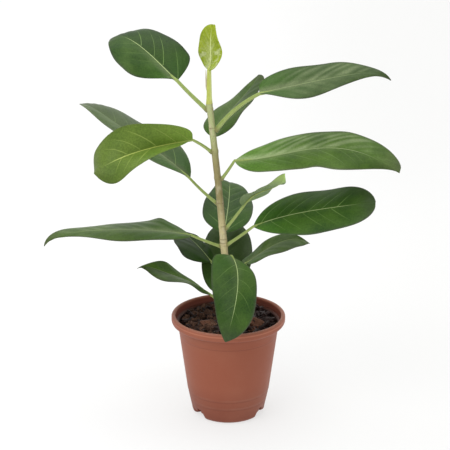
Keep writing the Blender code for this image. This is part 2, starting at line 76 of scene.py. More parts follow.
class Channel:
    """A shader socket that ordinary arithmetic works on, one Math node for each operator."""

    def __init__(self, graph: "Graph", socket: NodeSocket) -> None:
        """Wrap a socket of a graph."""
        self.graph = graph
        self.socket = socket

    def __add__(self, other: Number) -> "Channel":
        """Sum."""
        return self.graph.math("ADD", self, other)

    __radd__ = __add__

    def __sub__(self, other: Number) -> "Channel":
        """Difference."""
        return self.graph.math("SUBTRACT", self, other)

    def __rsub__(self, other: Number) -> "Channel":
        """Difference, with this socket taken away from a number."""
        return self.graph.math("SUBTRACT", other, self)

    def __mul__(self, other: Number) -> "Channel":
        """Product."""
        return self.graph.math("MULTIPLY", self, other)

    __rmul__ = __mul__

    def __truediv__(self, other: Number) -> "Channel":
        """Quotient."""
        return self.graph.math("DIVIDE", self, other)

    def __rtruediv__(self, other: Number) -> "Channel":
        """Quotient, with a number divided by this socket."""
        return self.graph.math("DIVIDE", other, self)

    def __abs__(self) -> "Channel":
        """Size without sign."""
        return self.graph.math("ABSOLUTE", self)

    def clamp(self) -> "Channel":
        """Keep between 0 and 1."""
        return self.graph.math("ADD", self, 0.0, clamp=True)

    def fraction(self) -> "Channel":
        """Part after the point."""
        return self.graph.math("FRACT", self)

    def floor(self) -> "Channel":
        """Whole part."""
        return self.graph.math("FLOOR", self)

    def ramp(self, start: float, end: float) -> "Channel":
        """Rise smoothly from 0 to 1 between two values.

        Args:
            start: The value that gives 0.
            end: The value that gives 1; it may lie below the start.

        Returns:
            The smooth step as a new channel.
        """
        settings = {"interpolation_type": "SMOOTHSTEP"}
        low, high = (start, end) if start < end else (end, start)
        inputs = {"Value": self, "From Min": low, "From Max": high}
        step = self.graph.node("MapRange", settings, inputs).outputs["Result"]
        rise = Channel(self.graph, step)
        return rise if start < end else 1.0 - rise

    def over(self, start: float, end: float) -> "Channel":
        """Rise smoothly from 0 to 1 between two lengths in millimetres."""
        return self.ramp(start * MM, end * MM)

    def line(self, middle: float, edge: float, core: float) -> "Channel":
        """Draw a line about a length.

        Args:
            middle: Where the line lies, in millimetres.
            edge: How far from its middle it starts.
            core: How far from its middle it is full.

        Returns:
            1 on the line and 0 off it.
        """
        return abs(self - middle * MM).over(edge, core)


@dataclass(frozen=True)
class Grain:
    """One even pattern of noise or cells.

    Args:
        scale: How many features there are to a metre.
        detail: How many finer layers it has.
        rough: How strong those are.
        stretch: Factors on the axes; less than 1 draws it out.
    """

    scale: float
    detail: float = 3.0
    rough: float = 0.5
    stretch: Optional[Triple] = None


class Graph:
    """The node graph of one finish, which ends in a Principled shader."""

    def __init__(self, name: str, **constants: float) -> None:
        """Start a material.

        Args:
            name: The material's name.
            constants: Values of shader sockets that are the same all over the surface.
        """
        self.material = bpy.data.materials.new(name)
        self.material.use_nodes = True
        self.tree = self.material.node_tree
        self.shader = self.tree.nodes["Principled BSDF"]
        for key, value in constants.items():
            label = key.replace("_", " ").title().replace("Ior", "IOR")
            self.shader.inputs[label].default_value = value

    def node(self, kind: str, settings: dict, inputs: dict) -> Node:
        """Add a node.

        Args:
            kind: The node's type without its ShaderNode prefix.
            settings: Its own settings, which are set first.
            inputs: Values or links of its sockets, by name or number.

        Returns:
            The new node.
        """
        node = self.tree.nodes.new("ShaderNode" + kind)
        for key, value in settings.items():
            setattr(node, key, value)
        for key, value in inputs.items():
            self._feed(node, key, value)
        return node

    def _feed(self, node: Node, key: Union[str, int], value: object) -> None:
        """Link or set one socket of a node.

        Args:
            node: The node.
            key: The socket's name or number.
            value: A channel to link, or a value to set.
        """
        if isinstance(key, int):
            socket = node.inputs[key]
        else:
            socket = next(s for s in node.inputs if s.name == key and s.enabled)
        if isinstance(value, Channel):
            self.tree.links.new(value.socket, socket)
        elif socket.type == "RGBA":
            socket.default_value = (*value[:3], 1.0)
        else:
            socket.default_value = value

    def math(self, operation: str, *values: Number, clamp: bool = False) -> Channel:
        """Add a Math node on channels and numbers.

        Args:
            operation: Its operation.
            values: What it works on.
            clamp: Whether it is kept within 0 and 1.

        Returns:
            The result.
        """
        inputs = dict(enumerate(values))
        node = self.node("Math", {"operation": operation, "use_clamp": clamp}, inputs)
        return Channel(self, node.outputs[0])

    def mix(self, share: Number, first: object, second: object, blend: str = "MIX") -> Channel:
        """Mix two colours, each a channel or a plain colour, by a share of the second.

        Args:
            share: Share of the second colour.
            first: The first colour.
            second: The second colour.
            blend: How they are blended.

        Returns:
            The mixed colour.
        """
        settings = {"data_type": "RGBA", "blend_type": blend}
        inputs = {"Factor": share, "A": first, "B": second}
        node = self.node("Mix", settings, inputs)
        return Channel(self, next(s for s in node.outputs if s.enabled))

    def coats(self, tone: object, *coats: tuple[Channel, float, object]) -> Channel:
        """Lay coats of colour over a tone, one after another.

        Args:
            tone: The tone under them.
            coats: Where each coat lies, how strong it is there, and its colour.

        Returns:
            The tone with its coats on.
        """
        for mask, strength, colour in coats:
            share = mask if strength == 1.0 else mask * strength
            tone = self.mix(share, tone, colour)
        return tone

    def place(self) -> Channel:
        """Object coordinates of the surface, in metres."""
        return Channel(self, self.node("TexCoord", {}, {}).outputs["Object"])

    def split(self, vector: Channel) -> tuple[Channel, Channel, Channel]:
        """Give the three parts of a vector."""
        node = self.node("SeparateXYZ", {}, {0: vector})
        return tuple(Channel(self, output) for output in node.outputs)

    def uv(self, name: str) -> tuple[Channel, Channel]:
        """Give the two parts of a UV map.

        Args:
            name: The map's name.

        Returns:
            Its parts across and along.
        """
        node = self.node("UVMap", {"uv_map": name}, {})
        across, along, _ = self.split(Channel(self, node.outputs["UV"]))
        return across, along

    def _stretched(self, vector: Channel, grain: Grain) -> Channel:
        """Scale a vector along its axes as a grain asks.

        Args:
            vector: The vector.
            grain: The pattern it is for.

        Returns:
            The scaled vector.
        """
        if grain.stretch is None:
            return vector
        inputs = {0: vector, 1: grain.stretch}
        node = self.node("VectorMath", {"operation": "MULTIPLY"}, inputs)
        return Channel(self, node.outputs[0])

    def noise(self, vector: Channel, grain: Grain) -> Channel:
        """Soft noise about 0.5 on a vector.

        Args:
            vector: Where it is read.
            grain: Its size and roughness.

        Returns:
            The noise.
        """
        inputs = {"Vector": self._stretched(vector, grain), "Scale": grain.scale,
                  "Detail": grain.detail, "Roughness": grain.rough}
        return Channel(self, self.node("TexNoise", {}, inputs).outputs["Fac"])

    def cells(self, vector: Channel, grain: Grain, output: str = "Distance") -> Channel:
        """Cellular pattern on a vector."""
        inputs = {"Vector": self._stretched(vector, grain), "Scale": grain.scale}
        return Channel(self, self.node("TexVoronoi", {}, inputs).outputs[output])

    def finish(self, colour: object, rough: Number, height: Optional[Channel] = None,
               depth: float = 1.0) -> Material:
        """Feed the shader.

        Args:
            colour: Base colour, as a channel.
            rough: Roughness, as a number or a channel.
            height: Height of the relief in millimetres, if there is any.
            depth: How strongly the relief shows, 0 to 1.

        Returns:
            The finished material.
        """
        self._feed(self.shader, "Base Color", colour)
        self._feed(self.shader, "Roughness", rough)
        if height is not None:
            inputs = {"Height": height, "Distance": MM, "Strength": depth}
            bump = self.node("Bump", {}, inputs)
            self._feed(self.shader, "Normal", Channel(self, bump.outputs["Normal"]))
        return self.material


@dataclass(frozen=True)
class PlasticFinish:
    """Matte moulded plastic of the pot, a little scuffed and dusty.

    It has painted shade at the foot, under the lip, in the ring grooves and inside, and painted
    highlights on the lip and over the lower rings.

    A band gives two heights, or two radii for the lip, between which a shade rises.

    Args:
        rings: Heights of the rings in the wall.
        groove, glint: Place under or over its ring, half width and core of the painted shade in
        each ring's groove and of the painted highlight on the edge above it.
        foot_shade: Height up to which the foot is darker, in painted shade.
        knee, knee_radius: Height and radius of the inner wall's knee.
        widening, rim_step: How much wider the inside gets for a millimetre of height, and how
            much wider it is within the rim.
    """

    colour: Colour = (0.300, 0.088, 0.048)
    worn: Colour = (0.36, 0.140, 0.085)
    # Painted shade: the darker foot, the shade under the lip and in the ring grooves.
    deep: Colour = (0.195, 0.053, 0.031)
    # Painted highlight along the lip.
    lip: Colour = (0.55, 0.22, 0.13)
    # Pale dust on the rim's top, and the painted highlight over the lower rings.
    dust_and_glint: Colour = (0.34, 0.18, 0.13)
    # Painted shade on the wall inside the rim, and near black deeper in.
    inside: Colour = (0.20, 0.052, 0.031)
    deep_inside_shade: Colour = (0.022, 0.008, 0.006)
    rings: tuple[float, ...] = POT_RINGS
    groove: Triple = (0.5, 1.3, 0.2)
    glint: Triple = (2.4, 1.9, 0.3)
    glint_band: Band = (60.0, 50.0)
    foot_shade: float = 60.0
    rim_dust: Band = (153.0, 156.0)
    # Where the painted highlight along the lip lies.
    lip_highlight_line: Triple = (151.6, 1.6, 0.3)
    lip_highlight_radii: Band = (82.5, 84.0)
    # Where the painted shade under the lip lies.
    neck_shade_foot: Band = (136.0, 141.5)
    neck_shade_top: Band = (144.5, 142.0)
    knee: float = 46.0
    knee_radius: float = 62.3
    widening: float = 0.1247
    rim_step: float = 3.9
    step_band: Band = (140.5, 143.5)
    skin_band: Band = (0.0, 0.8)
    # Where the painted shade inside the pot lies.
    inside_foot: Band = (100.0, 120.0)
    inside_top: Band = (156.5, 151.5)
    deep_inside_shade_band: Band = (142.0, 149.0)
    cloud: Grain = Grain(14.0)
    speck: Grain = Grain(420.0, 2.0)
    scuff: Grain = Grain(60.0, 4.0, 0.6, (1.0, 1.0, 6.0))

    def build(self) -> Material:
        """Make the finish.

        Returns:
            The material.
        """
        graph = Graph("terracotta_plastic_finish", ior=1.3)
        place = graph.place()
        east, north, height = graph.split(place)
        reach = graph.math("SQRT", east * east + north * north)
        cloud = graph.noise(place, self.cloud)
        speck = graph.noise(place, self.speck)
        scuff = graph.noise(place, self.scuff)
        # Noise that breaks up the painted highlights on the lip and over the rings.
        highlight_breakup = cloud.ramp(0.3, 0.6)
        # Lines along the ring grooves, which take painted shade and a dip in the relief, and lines just
        # above the rings, which take a painted highlight.
        drop, edge, core = self.groove
        groove = sum(height.line(ring - drop, edge, core) for ring in self.rings)
        rise, edge, core = self.glint
        glint = sum(height.line(ring + rise, edge, core) for ring in self.rings)
        # Mask of the pot's inside, which takes painted shade, near black deeper in.
        wall = (height - self.knee * MM) * self.widening + self.knee_radius * MM
        wall = wall + height.over(*self.step_band) * (self.rim_step * MM)
        within = (wall - reach).over(*self.skin_band) * height.over(*self.inside_foot)
        inner = graph.mix(height.over(*self.deep_inside_shade_band), self.deep_inside_shade, self.inside)
        tone = graph.coats(
            # Painted shade: darker towards the foot.
            graph.mix((height / (self.foot_shade * MM)).clamp(), self.deep, self.colour),
            (cloud.ramp(0.35, 0.75), 0.25, self.worn),
            (speck.ramp(0.62, 0.8), 0.25, self.worn),
            (height.over(*self.rim_dust), 0.4, self.dust_and_glint),
            # Painted highlight along the lip.
            (height.line(*self.lip_highlight_line) * reach.over(*self.lip_highlight_radii) * highlight_breakup, 0.45, self.lip),
            # Painted shade under the lip.
            (height.over(*self.neck_shade_foot) * height.over(*self.neck_shade_top), 0.55, self.deep),
            # Painted shade in the ring grooves.
            (groove, 0.45, self.deep),
            # Painted highlight over the lower rings.
            (glint * height.over(*self.glint_band) * highlight_breakup, 0.2, self.dust_and_glint),
            # Painted shade inside the pot.
            (within * height.over(*self.inside_top), 1.0, inner),
        )
        relief = speck * 0.05 + scuff * 0.03 - groove * 0.5
        return graph.finish(tone, 0.40 + scuff * 0.16, relief, 0.5)


@dataclass(frozen=True)
class MixFinish:
    """Moist potting mix: near-black crumbs with brown fibres, and painted shade between them."""

    dark: Colour = (0.008, 0.005, 0.004)
    brown: Colour = (0.070, 0.034, 0.020)
    light: Colour = (0.20, 0.105, 0.06)
    clump: Grain = Grain(90.0, 6.0, 0.65)
    crumb: Grain = Grain(420.0)
    patch: Grain = Grain(30.0, 2.0)

    def build(self) -> Material:
        """Make the finish.

        Returns:
            The material.
        """
        graph = Graph("potting_mix_finish", ior=1.12)
        place = graph.place()
        clump = graph.noise(place, self.clump)
        crumb = graph.cells(place, self.crumb)
        patch = graph.noise(place, self.patch)
        tone = graph.coats(
            graph.mix(clump.ramp(0.42, 0.68), self.dark, self.brown),
            (patch.ramp(0.55, 0.75) * clump.ramp(0.5, 0.7), 0.7, self.light),
            # Painted shade: darker between the crumbs, where the relief is lowest.
            (crumb.ramp(0.32, 0.55), 0.6, self.dark),
        )
        return graph.finish(tone, 0.85, crumb * -1.2 + clump * 1.6, 1.0)


@dataclass(frozen=True)
class ChipFinish:
    """Broken bark, with a grain along the place it lies in and a shade of its own for each chip."""

    name: str
    dark: Colour
    light: Colour
    rough: float = 0.7
    gloss: float = 1.15
    piece: Grain = Grain(70.0)
    grain: Grain = Grain(260.0, 4.0, 0.6, (1.0, 3.0, 5.0))

    def build(self) -> Material:
        """Make the finish.

        Returns:
            The material.
        """
        graph = Graph(self.name + "_chip_finish", ior=self.gloss)
        place = graph.place()
        shade, _, _ = graph.split(graph.cells(place, self.piece, "Color"))
        grain = graph.noise(place, self.grain)
        tone = graph.mix(grain.ramp(0.3, 0.7), self.dark, self.light)
        tone = graph.coats(tone, (shade, 0.6, self.dark))
        return graph.finish(tone, self.rough, grain * 0.5, 0.7)


@dataclass(frozen=True)
class BarkFinish:
    """Thin bark: tan and dry at the foot, greener and smoother towards the top.

    Its sides are darker, more on the right, in painted shade.

    Args:
        nodes: Heights of the leaves, with a scar over each.
        middle_band, top_band: Heights between which the middle's and the top's tone come in.
        scar_rise, scar_waver: How far a scar lies over its leaf, and how far it wavers.
        scar_line: Half width and core of a scar.
    """

    nodes: tuple[float, ...] = ()
    foot: Colour = (0.63, 0.55, 0.29)
    middle: Colour = (0.305, 0.258, 0.108)
    top: Colour = (0.45, 0.495, 0.225)
    # Cracks, dots, blotches and scars, and the painted shade down the stem's sides.
    crack_and_side_shade: Colour = (0.15, 0.105, 0.045)
    pale: Colour = (0.56, 0.50, 0.33)
    middle_band: Band = (280.0, 340.0)
    top_band: Band = (375.0, 438.0)
    scar_rise: float = 2.6
    scar_waver: float = 2.0
    scar_line: Band = (1.5, 0.3)
    fibre: Grain = Grain(900.0, 4.0, 0.6, (1.0, 1.0, 0.12))
    patch: Grain = Grain(110.0, 3.0, stretch=(1.0, 1.0, 0.5))
    dots: Grain = Grain(330.0, stretch=(1.0, 1.0, 0.6))
    blotch: Grain = Grain(240.0, 2.0, stretch=(1.0, 1.0, 0.7))

    def build(self) -> Material:
        """Make the finish.

        Returns:
            The material.
        """
        graph = Graph("bark_finish")
        place = graph.place()
        _, _, height = graph.split(place)
        around, _ = graph.uv("turn")
        fibre = graph.noise(place, self.fibre)
        patch = graph.noise(place, self.patch)
        dots = graph.cells(place, self.dots)
        blotch = graph.noise(place, self.blotch)
        wavering = height + patch * (self.scar_waver * MM)
        scars = sum(wavering.line(node + self.scar_rise, *self.scar_line) for node in self.nodes)
        tone = graph.coats(
            self.foot,
            (height.over(*self.middle_band), 1.0, self.middle),
            (height.over(*self.top_band), 1.0, self.top),
            (patch.ramp(0.5, 0.68), 0.6, self.pale),
            (fibre.ramp(0.56, 0.74), 0.5, self.crack_and_side_shade),
            (dots.ramp(0.25, 0.1), 0.4, self.crack_and_side_shade),
            (blotch.ramp(0.58, 0.7), 0.3, self.crack_and_side_shade),
            # Painted shade down the right side of the stem and, less, down the left.
            (around.ramp(0.6, 1.0), 0.4, self.crack_and_side_shade),
            (around.ramp(0.12, 0.0), 0.25, self.crack_and_side_shade),
            ((scars * patch.ramp(0.4, 0.6) * 0.5).clamp(), 1.0, self.crack_and_side_shade),
        )
        relief = patch * 0.35 - fibre * 0.3 + dots * 0.2
        return graph.finish(tone, 0.62 + patch * 0.2, relief, 0.6)


@dataclass(frozen=True)
class StalkFinish:
    """Smooth green stalk with faint long streaks and a brown foot."""

    name: str
    green: Colour = (0.22, 0.30, 0.070)
    pale: Colour = (0.41, 0.49, 0.17)
    foot: Colour = (0.20, 0.15, 0.07)
    foot_band: Band = (0.055, 0.01)
    streak: Grain = Grain(500.0, 3.0, stretch=(1.0, 1.0, 0.4))

    def build(self) -> Material:
        """Make the finish.

        Returns:
            The material.
        """
        graph = Graph(self.name, ior=1.35)
        around, along = graph.uv("tube")
        streak = graph.noise(graph.place(), self.streak)
        tone = graph.coats(
            self.green,
            (around.ramp(0.2, 0.8), 1.0, self.pale),
            (streak.ramp(0.35, 0.7), 0.4, self.pale),
            (along.ramp(*self.foot_band), 0.7, self.foot),
        )
        return graph.finish(tone, 0.42 + streak * 0.15, streak * 0.15, 0.4)


@dataclass(frozen=True)
class LeafFinish:
    """Both faces of a leaf, with its pale midrib, curved side veins and thin margin.

    The leaf's UV maps say where a place lies: "blade" holds the places across and along,
    "veins" the count of side veins up to it and its distance from the midrib, "tone" the
    painted light and shade and the strength of the painted sheen, and "marks" how clear the
    midrib and the side veins are.

    Args:
        name: Start of the names of its materials.
        rough: Least roughness of the upper face.
        vein_share, patches: How strongly the side veins and the pale patches show.
        rib_width, rib_taper: Half the midrib's width at the base, and how much of it is lost.
        rib_blur, rib_reach: Width of its soft edge, and the share of the leaf it reaches.
        spacing, vein_line: Distance between side veins, and half width and core of one.
        band_shift, banded: Where the painted light bands lie between the side veins, and the
        painted sheen over which they show.
    """

    name: str
    dark: Colour = (0.034, 0.075, 0.009)
    light: Colour = (0.066, 0.128, 0.016)
    vein: Colour = (0.18, 0.27, 0.085)
    rib: Colour = (0.33, 0.40, 0.19)
    edge: Colour = (0.075, 0.072, 0.050)
    margin: Colour = (0.10, 0.12, 0.06)
    # Colour of the painted sheen, and of the young leaf's pale patches.
    sheen: Colour = (0.200, 0.255, 0.120)
    fresh: Colour = (0.062, 0.140, 0.018)
    back: Colour = (0.16, 0.21, 0.11)
    back_vein: Colour = (0.27, 0.34, 0.17)
    back_tip: Colour = (0.25, 0.36, 0.07)
    rough: float = 0.38
    vein_share: float = 0.70
    rib_width: float = 0.80
    rib_taper: float = 0.85
    rib_blur: float = 0.3
    rib_reach: float = 0.86
    spacing: float = 24.0
    vein_line: Band = (0.75, 0.12)
    patches: float = 0.0
    band_shift: float = 0.27
    banded: float = 0.4
    cloud: Grain = Grain(26.0)
    fine: Grain = Grain(900.0, 3.0, 0.6)
    mottle: Grain = Grain(420.0, 4.0, 0.75)
    net: Grain = Grain(260.0)
    patch: Grain = Grain(120.0, 3.0, 0.6)

    def _each_vein(self, graph: Graph, count: Channel, across: Channel) -> Channel:
        """Give each side vein a strength of its own, by its number and its half.

        Args:
            graph: The finish's graph.
            count: Side veins up to the place.
            across: The place across the blade.

        Returns:
            The strength.
        """
        half = (across - 0.5).ramp(-0.01, 0.01)
        number = (count.floor() + half * 31.0) * 3.7
        chance = graph.node("TexWhiteNoise", {"noise_dimensions": "1D"}, {"W": number})
        return Channel(graph, chance.outputs["Value"]) * 0.6 + 0.35

    def _patterns(self, graph: Graph) -> dict[str, Channel]:
        """Work out the patterns that both faces share.

        Args:
            graph: The finish's graph.

        Returns:
            The places along and across the leaf, its midrib, side veins, painted soft sheen,
            margin and painted light and shade, and the noises.
        """
        across, along = graph.uv("blade")
        count, offset = graph.uv("veins")
        # Painted light and shade, and the strength of the painted sheen, as set for each leaf.
        painted_light_and_shade, sheen = graph.uv("tone")
        clear, veined = graph.uv("marks")
        place = graph.place()
        cloud = graph.noise(place, self.cloud)
        side = abs(across * 2.0 - 1.0)
        reach = abs(offset) * REACH_UNIT
        strength = self._each_vein(graph, count, across)
        line = (abs(count.fraction() - 0.5) * self.spacing).ramp(*self.vein_line)
        fade = side.ramp(0.95, 0.4) * along.ramp(0.88, 0.66)
        past_rib = reach - self.rib_width * (1.0 - along * self.rib_taper)
        rib = past_rib.ramp(self.rib_blur, 0.0)
        # Painted sheen: light bands between the side veins, a pale glow along the midrib near the base and
        # a faint veil.
        flank = abs((count + self.band_shift).fraction() - 0.5) * 2.0
        band = flank.ramp(0.0, 1.0) * (strength * 1.4 - 0.45 + cloud.ramp(0.35, 0.65) * 0.5).clamp()
        band = band * side.ramp(1.02, 0.7) * reach.ramp(0.0, 5.0)
        band = band * along.ramp(0.06, 0.32) * along.ramp(0.94, 0.7)
        glow = reach.ramp(13.0, 0.5) * along.ramp(0.80, 0.1)
        soft = ((sheen - self.banded) * 1.6).clamp() * band
        soft = soft + sheen * (glow * 0.95 + cloud.ramp(0.45, 0.7) * 0.15)
        return {
            "along": along,
            "side": side,
            "reach": reach,
            "painted_light_and_shade": painted_light_and_shade,
            "soft": soft.clamp() * along.ramp(1.0, 0.85),
            "vein": line * strength * fade * veined,
            "rib": rib * along.ramp(self.rib_reach + 0.06, self.rib_reach - 0.2) * clear,
            "margin": (reach / (side + 0.001) - reach).ramp(0.8, 0.25),
            "cloud": cloud,
            "fine": graph.noise(place, self.fine),
            "mottle": graph.noise(place, self.mottle).ramp(0.32, 0.68) * 0.36 + 0.82,
            "net": graph.cells(place, self.net),
            "patch": graph.noise(place, self.patch).ramp(0.48, 0.62) * along.ramp(0.75, 0.35),
        }

    def face(self) -> Material:
        """Make the upper face: semi-gloss, with sunken veins.

        Returns:
            The material.
        """
        graph = Graph(self.name + "_face", ior=1.23)
        part = self._patterns(graph)
        along, reach = part["along"], part["reach"]
        near = reach.ramp(9.0, 0.5) * 0.2 + part["net"].ramp(0.15, 0.6) * 0.25
        rim = (along.ramp(0.8, 1.0) * 0.45 + part["side"].ramp(0.88, 1.0) * 0.45).clamp()
        tone = graph.coats(
            self.dark,
            (part["cloud"].ramp(0.3, 0.7), 1.0, self.light),
            (near, 1.0, self.light),
            (along.ramp(0.45, 0.1) * reach.ramp(1.0, 9.0), 0.6, self.fresh),
            # Painted sheen.
            (part["soft"], 1.0, self.sheen),
            (part["patch"], self.patches, self.sheen),
            (rim, 1.0, self.edge),
            (part["margin"], 0.4, self.margin),
        )
        # Painted light and shade of each half and of the base.
        tone = graph.mix(1.0, tone, part["painted_light_and_shade"] * part["mottle"], "MULTIPLY")
        tone = graph.coats(tone, (part["vein"], self.vein_share, self.vein), (part["rib"], 1.0, self.rib))
        relief = part["fine"] * 0.08 - part["vein"] * 0.2 - part["net"] * 0.1
        rough = self.rough + part["cloud"] * 0.12 + part["rib"] * 0.1
        return graph.finish(tone, rough, relief, 0.45)

    def underside(self) -> Material:
        """Make the under face: paler and duller, with raised veins.

        Returns:
            The material.
        """
        graph = Graph(self.name + "_underside", ior=1.25)
        part = self._patterns(graph)
        tone = graph.coats(
            self.back,
            (part["cloud"].ramp(0.3, 0.7), 0.35, self.light),
            (part["along"].ramp(0.7, 1.0), 0.5, self.back_tip),
            (part["vein"], 0.8, self.back_vein),
            (part["rib"], 0.6, self.rib),
        )
        # Painted light and shade of each half and of the base.
        tone = graph.mix(1.0, tone, part["painted_light_and_shade"], "MULTIPLY")
        relief = part["fine"] * 0.15 + part["vein"] * 0.5
        return graph.finish(tone, 0.55 + part["fine"] * 0.1, relief, 0.5)


@dataclass(frozen=True)
class DryFinish:
    """Papery dry sheath."""

    pale: Colour = (0.60, 0.56, 0.36)
    brown: Colour = (0.40, 0.34, 0.19)
    grain: Grain = Grain(1200.0, 3.0, stretch=(1.0, 1.0, 0.1))

    def build(self) -> Material:
        """Make the finish.

        Returns:
            The material.
        """
        graph = Graph("dry_sheath_finish")
        grain = graph.noise(graph.place(), self.grain)
        tone = graph.mix(grain.ramp(0.35, 0.7), self.pale, self.brown)
        return graph.finish(tone, 0.7, grain * 0.2, 0.5)


@dataclass(frozen=True)
class FloorFinish:
    """Smooth white paper of the studio floor, lit from below too, so that shadows stay pale."""

    colour: Colour = (0.31, 0.31, 0.308)
    cool: Colour = (0.29, 0.292, 0.295)
    glow: Colour = (0.66, 0.66, 0.658)
    dim: Colour = (0.60, 0.60, 0.592)
    dim_band: Band = (-0.2, 0.5)
    cloud: Grain = Grain(0.8, 1.0)

    def build(self) -> Material:
        """Make the finish, with its glow a little dimmer towards the right.

        Returns:
            The material.
        """
        graph = Graph("studio_paper_finish", emission_strength=1.0, specular_ior_level=0.0)
        place = graph.place()
        east, _, _ = graph.split(place)
        glow = graph.mix(east.ramp(*self.dim_band), self.glow, self.dim)
        graph.tree.links.new(glow.socket, graph.shader.inputs["Emission Color"])
        return graph.finish(graph.mix(graph.noise(place, self.cloud), self.colour, self.cool), 0.9)


def only(obj: Object) -> None:
    """Make an object the only selected one, and active.

    Args:
        obj: The object.
    """
    bpy.ops.object.select_all(action="DESELECT")
    obj.select_set(True)
    bpy.context.view_layer.objects.active = obj


def edit(obj: Object, work: Callable[[], None]) -> None:
    """Do some work on all of a mesh in edit mode.

    Args:
        obj: The object to edit.
        work: Called with everything selected.
    """
    only(obj)
    bpy.ops.object.mode_set(mode="EDIT")
    bpy.ops.mesh.select_all(action="SELECT")
    work()
    bpy.ops.object.mode_set(mode="OBJECT")


def apply_modifier(obj: Object, modifier: Modifier) -> None:
    """Apply one modifier to its object."""
    only(obj)
    bpy.ops.object.modifier_apply(modifier=modifier.name)


def points_of(mesh: Mesh) -> np.ndarray:
    """Give a mesh's points as rows.

    Args:
        mesh: The mesh.

    Returns:
        Three numbers for each point, in metres.
    """
    flat = np.empty(3 * len(mesh.vertices))
    mesh.vertices.foreach_get("co", flat)
    return flat.reshape(-1, 3)


def move_points(mesh: Mesh, points: np.ndarray) -> None:
    """Put a mesh's points at new places."""
    mesh.vertices.foreach_set("co", np.asarray(points, dtype=float).ravel())
    mesh.update()


def paint_uv(mesh: Mesh, name: str, values: np.ndarray) -> None:
    """Write a UV map from one pair of values a point.

    Args:
        mesh: The mesh.
        name: The map's name.
        values: A row of two numbers for each point of the mesh.
    """
    layer = mesh.uv_layers.get(name) or mesh.uv_layers.new(name=name)
    corners = np.empty(len(mesh.loops), dtype=int)
    mesh.loops.foreach_get("vertex_index", corners)
    layer.uv.foreach_set("vector", values[corners].astype(np.float32).ravel())


def smooth(obj: Object, angle: float) -> None:
    """Shade an object smooth up to its sharp edges."""
    only(obj)
    bpy.ops.object.shade_smooth_by_angle(angle=math.radians(angle))


def cover(obj: Object, finish: Material, angle: float = 40.0) -> None:
    """Give a whole object one finish and shade it smooth up to its sharp edges.

    Args:
        obj: The object.
        finish: Its material.
        angle: Least angle of a sharp edge, in degrees.
    """
    obj.data.materials.clear()
    obj.data.materials.append(finish)
    smooth(obj, angle)


def join(pieces: Sequence[Object], name: str) -> Object:
    """Join pieces into the first one and name it.

    Args:
        pieces: The pieces.
        name: Name of the whole.

    Returns:
        The joined object.
    """
    only(pieces[0])
    for piece in pieces:
        piece.select_set(True)
    if len(pieces) > 1:
        bpy.ops.object.join()
    pieces[0].name = name
    pieces[0].data.name = name
    return pieces[0]


def enter(obj: Object, slot: Slot, *nodes: str) -> None:
    """Put a finished piece into the frame.

    Args:
        obj: The piece.
        slot: The record's slot it takes its finish from; it is not used.
        nodes: The solid pieces it stands for, if any.
    """
    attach(obj, BODY)
    if nodes:
        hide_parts(*nodes)
    LOG.info("%s: %d faces", obj.name, len(obj.data.polygons))


def spin_profile(name: str, profile: Sequence[Pair], steps: int) -> Object:
    """Turn an outline about Z into a closed shell.

    Args:
        name: The object's name.
        profile: Radius and height in millimetres, from the axis back to the axis.
        steps: Steps of the full turn.

    Returns:
        The turned object.
    """
    bpy.ops.mesh.primitive_circle_add(vertices=len(profile), radius=1.0, fill_type="NOTHING")
    obj = bpy.context.object
    obj.name = name
    move_points(obj.data, np.array([(r * MM, 0.0, z * MM) for r, z in profile]))

    def turn() -> None:
        """Spin the outline and close its seam and poles."""
        axis = {"center": (0.0, 0.0, 0.0), "axis": (0.0, 0.0, 1.0)}
        bpy.ops.mesh.spin(steps=steps, angle=2 * math.pi, use_auto_merge=False, **axis)
        bpy.ops.mesh.select_all(action="SELECT")
        bpy.ops.mesh.remove_doubles(threshold=WELD)
        bpy.ops.mesh.normals_make_consistent(inside=False)

    edit(obj, turn)
    return obj


